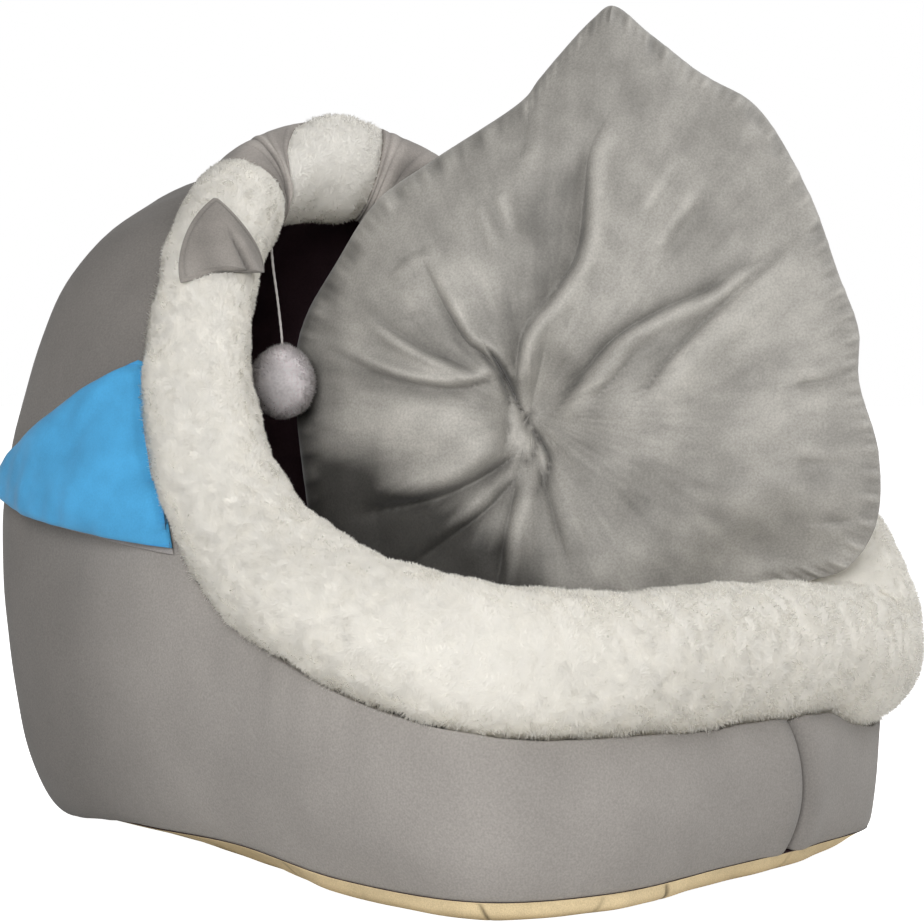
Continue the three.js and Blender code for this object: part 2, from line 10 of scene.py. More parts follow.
import bpy
import numpy as np
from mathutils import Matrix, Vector


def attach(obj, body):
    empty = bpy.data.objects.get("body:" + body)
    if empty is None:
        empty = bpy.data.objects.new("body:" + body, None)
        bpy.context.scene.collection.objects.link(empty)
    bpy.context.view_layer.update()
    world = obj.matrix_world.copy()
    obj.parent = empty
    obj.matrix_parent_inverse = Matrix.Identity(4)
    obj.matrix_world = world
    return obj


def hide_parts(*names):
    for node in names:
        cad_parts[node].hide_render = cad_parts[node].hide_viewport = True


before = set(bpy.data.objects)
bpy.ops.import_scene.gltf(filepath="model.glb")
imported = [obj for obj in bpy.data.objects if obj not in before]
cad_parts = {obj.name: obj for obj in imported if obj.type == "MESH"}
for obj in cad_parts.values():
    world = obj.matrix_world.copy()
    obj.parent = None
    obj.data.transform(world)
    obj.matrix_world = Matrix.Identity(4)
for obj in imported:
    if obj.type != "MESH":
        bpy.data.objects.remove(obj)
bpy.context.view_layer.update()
MM = 0.001
print("nodes in the frame:", len(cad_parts))

# %% [markdown]
# The camera stands at about the height of the bed's middle, off its near front corner, and looks almost
# level. The distance and the long lens were worked out from the vanishing lines of the seam round
# the base, so near and far parts keep the same proportions as in the photograph.

# %% Camera
CAMERA_AT = (-0.9917, -1.0097, 0.2833)
CAMERA_TURN = math.radians(45)
CAMERA_TILT = math.radians(2.4)
LENS = 92.45
SENSOR = 36.0
CLIP_START = 0.05
CLIP_END = 100


def new_object(name, data):
    """An object of the scene with the given data."""
    thing = bpy.data.objects.new(name, data)
    bpy.context.scene.collection.objects.link(thing)
    return thing


def face_along(thing, way):
    """Turns a camera or a light to look along a way, with its top up."""
    thing.rotation_mode = "QUATERNION"
    thing.rotation_quaternion = way.to_track_quat("-Z", "Y")


camera = new_object("camera", bpy.data.cameras.new("camera"))
bpy.context.scene.camera = camera
camera.location = CAMERA_AT
camera.data.lens = LENS
camera.data.sensor_width = SENSOR
camera.data.clip_start = CLIP_START
camera.data.clip_end = CLIP_END
looking = Vector((
    math.sin(CAMERA_TURN) * math.cos(CAMERA_TILT),
    math.cos(CAMERA_TURN) * math.cos(CAMERA_TILT),
    -math.sin(CAMERA_TILT),
))
face_along(camera, looking)
print("camera looks along", [round(x, 3) for x in looking])

# %% [markdown]
# The picture was lit from close to the camera: faces that look at it are the brightest and the
# hood's side and back fall off. One large panel stands behind the camera, a little to its left, a
# weaker one high on the right lights the top of the rim, and an even sky gives the rest.
# The sky that the camera sees is plain white.

# %% Lights and sky
KEY = {"at": (-1.93, -1.46, 0.95), "power": 45, "size": 1.1}
FILL = {"at": (1.6, -1.0, 1.95), "power": 35, "size": 1.2}
BED_MIDDLE = Vector((0, 0, 0.22))
SKY_LIGHT = {"Color": (1, 0.99, 0.975, 1), "Strength": 0.25}
SKY_SEEN = {"Color": (1, 1, 1, 1), "Strength": 1.0}


def area_light(name, at, power, size):
    """A square soft light that faces the middle of the bed."""
    lamp = new_object(name, bpy.data.lights.new(name, "AREA"))
    lamp.data.energy = power
    lamp.data.size = size
    lamp.location = at
    face_along(lamp, BED_MIDDLE - Vector(at))


def set_inputs(node, values):
    """Sets constant values on a node's own sockets."""
    for socket, value in values.items():
        node.inputs[socket].default_value = value


def add_node(tree, kind, values, sources, operation=None):
    """A node with constants on some of its sockets and other nodes' outputs linked to the rest."""
    node = tree.nodes.new("ShaderNode" + kind)
    if operation:
        node.operation = operation
    set_inputs(node, values)
    for socket, source in sources.items():
        tree.links.new(source, node.inputs[socket])
    return node


area_light("key", **KEY)
area_light("fill", **FILL)

world = bpy.data.worlds.new("studio")
bpy.context.scene.world = world
world.use_nodes = True
sky = world.node_tree
sky.nodes.clear()
lit = add_node(sky, "Background", SKY_LIGHT, {})
seen = add_node(sky, "Background", SKY_SEEN, {})
ray = add_node(sky, "LightPath", {}, {})
choices = {0: ray.outputs["Is Camera Ray"], 1: lit.outputs[0], 2: seen.outputs[0]}
either = add_node(sky, "MixShader", {}, choices)
add_node(sky, "OutputWorld", {}, {"Surface": either.outputs[0]})
bpy.context.scene.view_settings.view_transform = "Standard"

# %% [markdown]
# Every piece goes through one helper that turns arrays into a Blender mesh. Points come in
# millimetres, faces as rows of point numbers, all quads or all triangles. The helper puts the
# piece on the bed's one body, gives it its finishes and hides the solids that it stands for.


# %% Mesh helpers
def grid_quads(rows, columns, closed=False):
    """Quads between neighbours of a grid whose point (i, j) has the number i * columns + j.

    In a closed grid the last column meets the first one.
    """
    i = np.arange(rows - 1)[:, None]
    j = np.arange(columns if closed else columns - 1)[None, :]
    i2, j2 = i + 1, (j + 1) % columns
    corners = [i * columns + j, i2 * columns + j, i2 * columns + j2, i * columns + j2]
    return np.stack(corners, -1).reshape(-1, 4)


def outward(points, faces):
    """The faces, turned round if the closed surface's signed volume is negative."""
    a, b = points[faces[:, 0]], points[faces[:, 1]]
    volume = 0.0
    for k in range(2, faces.shape[1]):
        c = points[faces[:, k]]
        volume += np.einsum("ij,ij->i", a, np.cross(b, c)).sum()
        b = c
    return faces if volume > 0 else faces[:, ::-1]


def new_mesh(name, points, faces):
    """A smooth mesh from arrays of points in millimetres and of faces with equal numbers of corners."""
    mesh = bpy.data.meshes.new(name)
    mesh.vertices.add(len(points))
    mesh.vertices.foreach_set("co", (np.asarray(points) * MM).astype(np.float32).ravel())
    corners = faces.shape[1]
    mesh.loops.add(faces.size)
    mesh.loops.foreach_set("vertex_index", faces.astype(np.int32).ravel())
    mesh.polygons.add(len(faces))
    mesh.polygons.foreach_set("loop_start", np.arange(0, faces.size, corners, dtype=np.int32))
    mesh.update(calc_edges=True)
    mesh.validate()
    mesh.polygons.foreach_set("use_smooth", np.ones(len(mesh.polygons), bool))
    return mesh


def point_values(mesh, name, values):
    """Stores one number for each point, for a material to read by that name."""
    layer = mesh.attributes.new(name, "FLOAT", "POINT")
    layer.data.foreach_set("value", np.asarray(values, np.float32).ravel())


def use_second(mesh, is_second):
    """Gives the faces that are marked with 1 the second of the piece's materials."""
    mesh.polygons.foreach_set("material_index", is_second.astype(np.int32))


def fan_closed(rings, first, last):
    """Points and triangles of a stack of closed rings, shut at each end by a fan to a point."""
    rows, columns = rings.shape[:2]
    points = np.concatenate([rings.reshape(-1, 3), [first], [last]])
    quads = grid_quads(rows, columns, closed=True)
    sides = np.concatenate([quads[:, [0, 1, 2]], quads[:, [0, 2, 3]]])
    ring = np.arange(columns)
    after = np.roll(ring, -1)
    low = np.stack([np.full(columns, rows * columns), ring, after], -1)
    top = (rows - 1) * columns
    high = np.stack([np.full(columns, rows * columns + 1), after + top, ring + top], -1)
    faces = np.concatenate([sides, low, high])
    return points, outward(points, faces)


def stuffed_mesh(name, rings, painted_pleat_light=None):
    """A mesh of a stack of rings shut at their middles, with the depth of its pleats, if it has any, kept as
    painted highlight and shade.
    """
    points, faces = fan_closed(rings, rings[0].mean(0), rings[-1].mean(0))
    mesh = new_mesh(name, points, faces)
    if painted_pleat_light is not None:
        point_values(mesh, "pleat_painted_light", np.concatenate([painted_pleat_light.ravel(), [0, 0]]))
    return mesh


def piece(name, mesh, materials, stands_for=()):
    """An object that rides on the bed's body, with its finishes and the solids it replaces."""
    thing = new_object(name, mesh)
    for material in materials:
        mesh.materials.append(material)
    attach(thing, "root")
    if stands_for:
        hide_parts(*stands_for)
    print(name, "faces:", len(mesh.polygons))
    return thing


# %% [markdown]
# Cloth is never quite even. One cheap and repeatable unevenness is a sum of a few plane waves that
# cross in random directions: it is smooth, has no grid lines in it, and gives the same result
# in every run because its directions come from a fixed seed.

# %% Uneven waves
WAVES = 7


def uneven(points, wavelength, seed):
    """Mostly between -1 and 1: sines of the place along random directions, added up."""
    random = np.random.default_rng(seed)
    ways = random.normal(size=(WAVES, 3))
    ways /= np.linalg.norm(ways, axis=1, keepdims=True)
    ways *= random.uniform(0.7, 1.4, (WAVES, 1)) * 2 * np.pi / wavelength
    phases = random.uniform(0, 2 * np.pi, WAVES)
    total = sum(np.sin(points @ way + phase) for way, phase in zip(ways, phases))
    return total / math.sqrt(WAVES)


def layered(points, layers):
    """The sum of several kinds of unevenness, each with its strength, wavelength and seed."""
    return sum(strength * uneven(points, wavelength, seed) for strength, wavelength, seed in layers)


def smoothstep(x, low, high):
    """0 below low, 1 above high, and a smooth cubic between."""
    share = np.clip((x - low) / (high - low), 0, 1)
    return share * share * (3 - 2 * share)


def bell(x, width):
    """1 where x is 0, down to about a third where x is the width, and soon nothing."""
    return np.exp(-((x / width) ** 2))


def mix(a, b, share):
    """a at share 0, b at share 1."""
    return a + (b - a) * share


def unit(vectors):
    """The vectors at length 1."""
    return vectors / np.maximum(np.linalg.norm(vectors, axis=-1, keepdims=True), 1e-9)


# %% [markdown]
# The bed is one skin swept round a closed loop. At each place of the loop a cubic curve climbs from
# the foot over a belly and a shoulder to the roll. The sections below are half of the loop, from the
# front round the left side to the back, and the right side is their mirror image, pushed out a
# little where the cushion leans on it. The same few sections shape the solids.

# %% Sections of the bed, in millimetres
GAP = 0.35
WALL = 13.0
ROLL_CLEAR = 1.9
SOLE_HEIGHT = 10.0
# lumps of the stuffing: share of the radius, then wavelength along the roll, turns round it, strength
PLUSH_LUMP = 0.018
ROLL_WAVES = [(23, 2, 1.0), (37, -1, 0.8), (13, 3, 0.5)]
FRONT_SEAM = 0.9595
MOUTH_MIDDLE = np.array([0.0, -60.0, 235.0])
# foot, belly, shoulder, roll's centre, roll's radius, then how far wall and roll are pushed out
SECTIONS = [
    [(0, -217), (0, -230, 40), (0, -229, 68), (0, -197, 124), 39, (0, 0, 0), (0, 0, 0)],
    [(-84, -212), (-90, -226, 40), (-90, -224, 70), (-84, -192, 127), 39, (2, -3, 0), (3, -3, -6)],
    [(-148, -180), (-160, -192, 42), (-160, -190, 78), (-146, -170, 136), 38,
     (8, -6, -10), (18, -12, -20)],
    [(-166, -94), (-184, -96, 52), (-186, -98, 96), (-168, -100, 154), 37, (6, -24, 15), (25, -30, 23)],
    [(-165, -8), (-190, -6, 60), (-190, -14, 128), (-168, -21, 188), 36, (2, -5, 8), (7, -10, 16)],
    [(-158, 84), (-196, 96, 36), (-199, 98, 255), (-159.5, 30, 262), 31, (0, 0, 0), (0, -18, -5)],
    [(-135, 164), (-184, 211, -30), (-199.5, 228.5, 368), (-117, 63, 353), 28.5, (0, 0, -10), (-2, -32, -14)],
    [(-76, 206), (-110, 284, -20), (-114, 270, 402), (-57, 91, 393), 31, (0, 0, -12), (-4, -38, -13)],
    [(0, 212), (0, 292, -16), (0, 280, 406), (0, 84, 403), 34, (0, 0, 0), (0, 0, 0)],
]
# the right side's own pushes at two sections: the foot's, and how much thicker the roll is
RIGHT_FOOT = {2: (16, -13), 3: (6, -20)}
RIGHT_ROLL = {2: 4.5, 3: 3.0}
# at the sections from the front round the left to the back and on round the right: how far the
# seam round the foot rides up, and how far the bottom pad's underside is drawn in
FOOT_LIFTS = [2.5, 1, 1.5, 2.5, 8.5, 5, 0, 0, 0, 0, 0, 0, 0, 0, 0.5, 2.5]
SOLE_RECESSES = [8, 3, 4, 8, 25, 34, 26, 22, 22, 22, 22, 22, 22, 24, 22, 8]


NO_LENGTH = 1e-4
SMALL_STEP = 1e-4


def closed_curve(points):
    """A smooth closed curve through the points, as a function of a share from 0 to 1.

    Each span is a cubic. Its end slopes weigh the neighbouring spans by the square roots of their
    lengths, which keeps the curve from swinging wide at short spans. A span of no length, between
    two equal values, is left out of the weighing.
    """
    points = np.asarray(points, float)
    count = len(points)

    def at(share):
        place = np.mod(share, 1.0) * count
        k = np.floor(place).astype(int)
        w = (place - k)[..., None]
        p0, p1, p2, p3 = (points[(k + step) % count] for step in (-1, 0, 1, 2))
        d0, d1, d2 = (
            np.sqrt(np.linalg.norm(b - a, axis=-1, keepdims=True))
            for a, b in ((p0, p1), (p1, p2), (p2, p3))
        )
        d1 = np.where(d1 < NO_LENGTH, 1.0, d1)
        d0 = np.where(d0 < NO_LENGTH, d1, d0)
        d2 = np.where(d2 < NO_LENGTH, d1, d2)
        leave = ((p1 - p0) / d0 - (p2 - p0) / (d0 + d1) + (p2 - p1) / d1) * d1
        arrive = ((p2 - p1) / d1 - (p3 - p1) / (d1 + d2) + (p3 - p2) / d2) * d1
        bend = 3 * (p2 - p1) - 2 * leave - arrive
        twist = 2 * (p1 - p2) + leave + arrive
        return p1 + leave * w + bend * w**2 + twist * w**3

    return at


def both_sides(column, pushed):
    """The points of one column of the sections, with the mirrored right side after the left."""
    left = [np.array(row[column], float) for row in SECTIONS]
    right = [
        np.array([-row[column][0], *row[column][1:]], float) + np.array(row[pushed][: len(row[column])])
        for row in SECTIONS[-2:0:-1]
    ]
    return np.array(left + right)


feet = both_sides(0, 5)
radii = [row[4] for row in SECTIONS]
radii = radii + radii[-2:0:-1]
for row, pushed in RIGHT_FOOT.items():
    feet[-row] = np.array(SECTIONS[row][0]) * (-1, 1) + pushed
    radii[-row] += RIGHT_ROLL[row]
foot_curve = closed_curve(np.column_stack([feet, SOLE_HEIGHT + GAP + np.array(FOOT_LIFTS)]))
recess_curve = closed_curve(np.array(SOLE_RECESSES, float)[:, None])
belly_curve = closed_curve(both_sides(1, 5))
shoulder_curve = closed_curve(both_sides(2, 5))
edge_curve = closed_curve(both_sides(3, 6))
radius_curve = closed_curve(np.array(radii, float)[:, None])

LENGTH_STEPS = 800
length_shares = np.linspace(0, 1, LENGTH_STEPS + 1)
edge_points = edge_curve(length_shares)
edge_points[-1] = edge_points[0]
edge_lengths = np.concatenate([[0], np.cumsum(np.linalg.norm(np.diff(edge_points, axis=0), axis=1))])
roll_length = edge_lengths[-1]
left_length = edge_lengths[LENGTH_STEPS // 2]
print("length of the roll:", round(roll_length), "mm")


def place_of(t):
    """Millimetres along the roll from the top of the arch, positive towards the right."""
    return np.interp(np.mod(t, 1.0), length_shares, edge_lengths) - left_length


def loop_at(place):
    """The loop's share at a place along the roll."""
    return np.interp(np.mod(place + left_length, roll_length), edge_lengths, length_shares)


def roll_frame(t):
    """The roll's centre, its direction, the way out of the mouth and the way square to both."""
    centre = edge_curve(t)
    along = unit(edge_curve(t + SMALL_STEP) - edge_curve(t - SMALL_STEP))
    out = centre - MOUTH_MIDDLE
    out = unit(out - along * np.sum(out * along, axis=-1, keepdims=True))
    return centre, along, out, np.cross(along, out)


def roll_radius(t, turn):
    """The stuffed radius, uneven by a few slow waves along the roll and round it."""
    place = place_of(t)
    waves = sum(height * np.sin(place / length + turns * turn) for length, turns, height in ROLL_WAVES)
    return radius_curve(t)[..., 0] * (1 + PLUSH_LUMP * waves)


def roll_point(t, turn, scale=1.0, proud=0.0):
    """A point on the roll: turn 0 is its outer side, half a turn its side in the mouth."""
    centre, _, out, side = roll_frame(t)
    r = (roll_radius(t, turn) * scale + proud)[..., None]
    turn = np.asarray(turn)[..., None]
    return centre + out * r * np.cos(turn) + side * r * np.sin(turn)


def wall_turn(t):
    """The turn round the roll at which the wall meets it: the one that faces the wall's shoulder."""
    centre, _, out, side = roll_frame(t)
    away = shoulder_curve(t) - centre
    return np.arctan2(np.sum(away * side, axis=-1), np.sum(away * out, axis=-1))


def wall_point(t, v):
    """A point of the wall: t round the loop, v from the foot (0) to the roll (1), by a cubic curve."""
    end = roll_point(t, wall_turn(t), 1.0, ROLL_CLEAR)
    v = np.asarray(v)[..., None]
    u = 1 - v
    return (
        foot_curve(t) * u**3
        + belly_curve(t) * (3 * u**2 * v)
        + shoulder_curve(t) * (3 * u * v**2)
        + end * v**3
    )


WALL_LOOK = 0.002


def wall_normal(t, v):
    """The wall's outward normal, from short steps along it."""
    around = wall_point(t + WALL_LOOK, v) - wall_point(t - WALL_LOOK, v)
    up = wall_point(t, np.clip(v + WALL_LOOK, 0, 1)) - wall_point(t, np.clip(v - WALL_LOOK, 0, 1))
    return unit(np.cross(up, around))


# %% [markdown]
# The finishes are node materials on Object coordinates, so a pattern has its real size in metres:
# a noise of scale 900 has grains a little over a millimetre across. Velour is short matt pile, so it
# has no gloss, a fine grain and a faint cloudiness where the pile leans one way or another.


# %% Material helper
GRAIN_DEPTH = 0.0004
# a noise runs mostly between these two values
NOISE_SPAN = (0.3, 0.7)
# a point value runs between these two, from its darkest to its palest
PAINTED_LIGHT_SPAN = (-2, 1)


def cloth_material(name, colour, roughness=0.9, grain=900.0, grain_share=0.12, cloud=45.0,
                   cloud_share=0.10, bump=0.25, sheen=0.0, sheen_roughness=0.5,
                   stretch=(1, 1, 1), painted_light_and_nap=None, through=0.0):
    """A matt cloth: a base colour darkened by fine grain and by broad clouds, with grain bumps.

    The painted light argument names a point value on the mesh, from -2 to 1, with its share: painted
    shade where it is low and painted highlight where it is high, and on the cushion also the streaks
    of its crushed pile. through is the share of light that passes through the pile.
    """
    material = bpy.data.materials.new(name)
    material.use_nodes = True
    tree = material.node_tree
    shader = tree.nodes["Principled BSDF"]
    set_inputs(shader, {"Roughness": roughness, "Specular IOR Level": 0.2,
                        "Sheen Weight": sheen, "Sheen Roughness": sheen_roughness})
    place = add_node(tree, "TexCoord", {}, {}).outputs["Object"]
    drawn = add_node(tree, "Mapping", {"Scale": stretch}, {"Vector": place}).outputs[0]
    fine = add_node(tree, "TexNoise", {"Scale": grain, "Detail": 3.0}, {"Vector": drawn}).outputs["Fac"]
    broad = add_node(tree, "TexNoise", {"Scale": cloud, "Detail": 2.0}, {"Vector": place}).outputs["Fac"]
    shades = [(fine, NOISE_SPAN, -grain_share, grain_share), (broad, NOISE_SPAN, -cloud_share, cloud_share)]
    if painted_light_and_nap:
        value_name, share = painted_light_and_nap
        read = add_node(tree, "Attribute", {}, {})
        read.attribute_name = value_name
        shades.append((read.outputs["Fac"], PAINTED_LIGHT_SPAN, -2 * share, share))
    light = None
    for source, (low, high), darker, paler in shades:
        span = {"From Min": low, "From Max": high, "To Min": 1 + darker, "To Max": 1 + paler}
        shade = add_node(tree, "MapRange", span, {"Value": source}).outputs["Result"]
        if light is None:
            light = shade
        else:
            light = add_node(tree, "Math", {}, {0: light, 1: shade}, "MULTIPLY").outputs[0]
    tint = add_node(tree, "VectorMath", {0: colour}, {"Scale": light}, "SCALE").outputs[0]
    tree.links.new(tint, shader.inputs["Base Color"])
    raised = add_node(tree, "Bump", {"Strength": bump, "Distance": GRAIN_DEPTH}, {"Height": fine})
    tree.links.new(raised.outputs["Normal"], shader.inputs["Normal"])
    if through:
        passed = add_node(tree, "BsdfTranslucent", {}, {"Color": tint})
        both = {1: shader.outputs["BSDF"], 2: passed.outputs["BSDF"]}
        blend = add_node(tree, "MixShader", {"Fac": through}, both)
        tree.links.new(blend.outputs[0], tree.nodes["Material Output"].inputs["Surface"])
    return material


# %% The bed's finishes
# The point values these finishes read are painted light: painted shade on the walls, in creases and hollows,
# and painted highlight on the banks of folds; the cushion's also holds its streaks.
body_velour = cloth_material("body_velour", (0.306, 0.286, 0.267), cloud=22, cloud_share=0.05, sheen=0.1,
                             painted_light_and_nap=("nap_and_painted_light", 0.25))
stripe_velour = cloth_material("stripe_velour", (0.285, 0.262, 0.242), sheen=0.1, painted_light_and_nap=("pleat_painted_light", 0.35))
# the lining is near black: a dark cloth, darkened further as painted shade for the deep inside of the bed
lining_and_painted_shade = cloth_material("dark_lining_and_painted_shade", (0.062, 0.034, 0.042), grain=700)
sole_cloth = cloth_material("sole_cloth", (0.66, 0.53, 0.325), grain=1400, painted_light_and_nap=("pleat_painted_light", 0.35))
rim_white = cloth_material("rim_plush", (0.975, 0.958, 0.915), grain=300, grain_share=0.02, cloud=60,
                           cloud_share=0.02, bump=0.1, through=0.5)
ear_suede = cloth_material("ear_suede", (0.245, 0.226, 0.207), grain=1100, sheen=0.2, painted_light_and_nap=("pleat_painted_light", 0.3))
flap_blue = cloth_material("flap_velour", (0.066, 0.325, 0.60), grain=1000, grain_share=0.05, sheen=0.15)
flap_backing = cloth_material("flap_backing", (0.30, 0.28, 0.27), grain=1000)
cushion_velvet = cloth_material("cushion_velvet", (0.315, 0.302, 0.278), roughness=0.6, grain=820,
                                grain_share=0.14, cloud=60, sheen=0.3, sheen_roughness=0.35,
                                painted_light_and_nap=("nap_and_painted_light", 0.40))
pompom_white = cloth_material("pompom_fur", (0.95, 0.92, 0.925), grain=600, through=0.5)
string_white = cloth_material("string", (0.52, 0.495, 0.48), grain=2500, stretch=(1, 1, 0.2))
print("finishes made:", len(bpy.data.materials))

# %% [markdown]
# The picture has a plain white ground with no shadow on it. The floor is a pale disc that glows for
# the camera alone, so it reads as white, and it throws no extra light on the bed.

# %% Floor
FLOOR_RADIUS = 14.0
FLOOR_LOOK = {"Base Color": (0.87, 0.87, 0.865, 1), "Roughness": 0.9}
FLOOR_GLOW = (1, 1, 1, 1)

floor_paint = bpy.data.materials.new("floor")
floor_paint.use_nodes = True
floor_tree = floor_paint.node_tree
floor_shader = floor_tree.nodes["Principled BSDF"]
set_inputs(floor_shader, FLOOR_LOOK)
for_camera = add_node(floor_tree, "LightPath", {}, {}).outputs["Is Camera Ray"]
glow = add_node(floor_tree, "Emission", {"Color": FLOOR_GLOW}, {"Strength": for_camera})
lifted = add_node(floor_tree, "AddShader", {}, {0: floor_shader.outputs["BSDF"], 1: glow.outputs[0]})
floor_tree.links.new(lifted.outputs[0], floor_tree.nodes["Material Output"].inputs["Surface"])
bpy.ops.mesh.primitive_circle_add(vertices=96, radius=FLOOR_RADIUS, fill_type="NGON")
floor = bpy.context.object
floor.name = "floor"
floor.data.materials.append(floor_paint)
print("floor radius in metres:", FLOOR_RADIUS)

# %% [markdown]
# The walls are two panels of velour over foam. The outer face follows the swept skin, the inner face
# is the same surface set back by the wall's thickness, and strips close the rim between them.
# Where two panels are sewn together the cloth is pulled in to a narrow valley with a soft swelling
# beside it, and small puckers run up from the seam round the foot.
# Shade is painted into the velour's colour on the hood, towards the back, on the far half of the
# front and along the seams, where the velour looks darker than the lights make it.


# %% Walls
ROLL_LOOKS = 6
ROLL_LOOK_STEP = 0.005


def clear_of_roll(t, points):
    """The points, each moved out of the place of the roll near t that it is deepest in."""
    deepest = np.zeros(points.shape[:-1])
    way = np.zeros(points.shape)
    for step in range(-ROLL_LOOKS, ROLL_LOOKS + 1):
        near = t + step * ROLL_LOOK_STEP
        centre, _, out, side = roll_frame(near)
        away = points - centre
        far = np.linalg.norm(away, axis=-1)
        turn = np.arctan2(np.sum(away * side, axis=-1), np.sum(away * out, axis=-1))
        short = roll_radius(near, turn) + ROLL_CLEAR - far
        deeper = short > deepest
        deepest[deeper] = short[deeper]
        way[deeper] = (away / far[..., None])[deeper]
    return points + way * deepest[..., None]


def shell(front, back):
    """Two grids of points closed round their edges: points, quads and which quads are the back's."""
    rows, columns = front.shape[:2]
    points = np.concatenate([front.reshape(-1, 3), back.reshape(-1, 3)])
    behind = rows * columns
    quads = grid_quads(rows, columns)
    number = np.arange(behind).reshape(rows, columns)
    rim = np.concatenate([number[0], number[1:, -1], number[-1, -2::-1], number[-2:0:-1, 0]])
    after = np.roll(rim, -1)
    strip = np.stack([rim, after, after + behind, rim + behind], -1)
    faces = np.concatenate([quads, quads[:, ::-1] + behind, strip])
    is_back = np.zeros(len(faces), int)
    is_back[len(quads): 2 * len(quads)] = 1
    return points, outward(points, faces), is_back


WALL_ROWS = 72
WALL_STEP = 4.0
LOOP_LENGTH = 1420.0
PANEL_MARGIN = 0.00027
# relief of the cloth in millimetres, where aside is the way to the nearest sewn seam, rise the way
# up from the foot and below the way down from the roll
SEAM_VALLEY = {"depth": 3.6, "width": 3.0}
SEAM_SWELL = {"height": 1.4, "aside": 12.0, "width": 8.0}
FOOT_TUCK = {"depth": 0.5, "width": 2.0}
PUCKERS = {"layers": [(0.5, 17, 3)], "drawn": (1, 1, 0.15), "reach": 9.0, "start": 4.0}
GATHERS = {"layers": [(0.7, 26, 5)], "drawn": (1, 1, 0.12), "reach": 38.0}
SAG = {"layers": [(1.2, 130, 7), (0.35, 42, 8)], "start": 25.0}
# painted shade on the velour: how dark it is, and between which places it turns
PAINTED_HOOD_SHADE = 1.6
HOOD_BEHIND = (10, 150)
HOOD_ABOVE = (140, 280)
PAINTED_FRONT_SHADE = 0.6
FRONT_ACROSS = (-150, 60)
PAINTED_SEAM_SHADE = 0.9
PAINTED_SEAM_SHADE_REACH = 7.0


def lengths_along(points, axis):
    """The way gone along a grid of points, in one of its two directions, from its first edge."""
    steps = np.linalg.norm(np.diff(points, axis=axis), axis=-1)
    start = np.zeros_like(points[:1, :, 0] if axis == 0 else points[:, :1, 0])
    return np.concatenate([start, np.cumsum(steps, axis=axis)], axis=axis)


def wall_piece(name, start, end):
    """One panel of the wall, from one seam of the loop to another."""
    columns = int((end - start) * LOOP_LENGTH / WALL_STEP)
    t = mix(start + PANEL_MARGIN, end - PANEL_MARGIN, np.linspace(0, 1, columns))[None, :]
    t, v = np.broadcast_arrays(t, np.linspace(0, 1, WALL_ROWS)[:, None])
    outer = wall_point(t, v)
    normal = wall_normal(t, v)
    inner = outer - normal * WALL
    rise = lengths_along(outer, 0)
    run = lengths_along(outer, 1)
    aside = np.minimum(run, run[:, -1:] - run)
    below = rise[-1:] - rise
    seam = SEAM_VALLEY["depth"] * bell(aside, SEAM_VALLEY["width"])
    seam = seam - SEAM_SWELL["height"] * bell(aside - SEAM_SWELL["aside"], SEAM_SWELL["width"])
    puckers = layered(outer * PUCKERS["drawn"], PUCKERS["layers"]) * np.exp(-rise / PUCKERS["reach"])
    puckers = puckers * smoothstep(rise, 0, PUCKERS["start"])
    foot = FOOT_TUCK["depth"] * bell(rise, FOOT_TUCK["width"]) + puckers
    gathers = layered(outer * GATHERS["drawn"], GATHERS["layers"]) * np.exp(-below / GATHERS["reach"])
    sag = layered(outer, SAG["layers"]) * smoothstep(rise, 0, SAG["start"])
    outer = outer - normal * (seam + foot + gathers + sag)[..., None]
    points, faces, is_back = shell(clear_of_roll(t, outer), clear_of_roll(t, inner))
    mesh = new_mesh(name, points, faces)
    use_second(mesh, is_back)
    x, y, z = points.T
    # painted shade: darker on the hood, towards the back, on the far half of the front and beside the seams
    hood = PAINTED_HOOD_SHADE * np.maximum(smoothstep(y, *HOOD_BEHIND), smoothstep(z, *HOOD_ABOVE))
    by_seam = np.exp(-np.tile(aside.ravel(), 2) / PAINTED_SEAM_SHADE_REACH)
    nap_and_painted_light = -np.maximum(hood, PAINTED_FRONT_SHADE * smoothstep(x, *FRONT_ACROSS)) - PAINTED_SEAM_SHADE * by_seam
    point_values(mesh, "nap_and_painted_light", nap_and_painted_light)
    return piece(name, mesh, [body_velour, lining_and_painted_shade], [name.replace("_cloth", "")])


wall_piece("wall_left_cloth", FRONT_SEAM - 1, 0.5)
wall_piece("wall_right_cloth", 0.5, FRONT_SEAM)

# %% [markdown]
# The bottom pad is a bag of thin tan cloth, gathered into the seam, so its side is full of short
# slanting creases. How far its side stands out or is drawn in is a cubic of the height, and each
# crease is a narrow groove whose place moves along as it climbs.

# %% Bottom pad
SOLE_LEVELS = np.array([0, 0.3, 0.65, 1.0])
SOLE_OUT = np.polyfit(SOLE_LEVELS, [-8.0, 0.4, 1.0, -0.6], 3)
SOLE_RECESS_SHARE = np.polyfit(SOLE_LEVELS, [1, 0.9, 0.5, 0], 3)
SOLE_CREASES = {"count": 30, "slants": (-10, 30), "depths": (0.1, 1.0), "deepest": 2.0, "width": 1.5}
SOLE_SEED = 11
# small and broad billows of its side: how many round the pad, and how high
SOLE_BILLOWS = [(34, 0.5), (6, 0.8)]
SOLE_COLUMNS = 1100
SOLE_ROWS = 15
SOLE_UNDER = -8.0
SOLE_INSETS = (0.07, 0.3, 0.6, 0.85)
SOLE_LEVEL_INSET = 0.3
# painted shade in the creases: darker than they are deep, down to a darkest value
PAINTED_CREASE_SHADE = 1.6
DARKEST_PAINTED_CREASE = -1.8


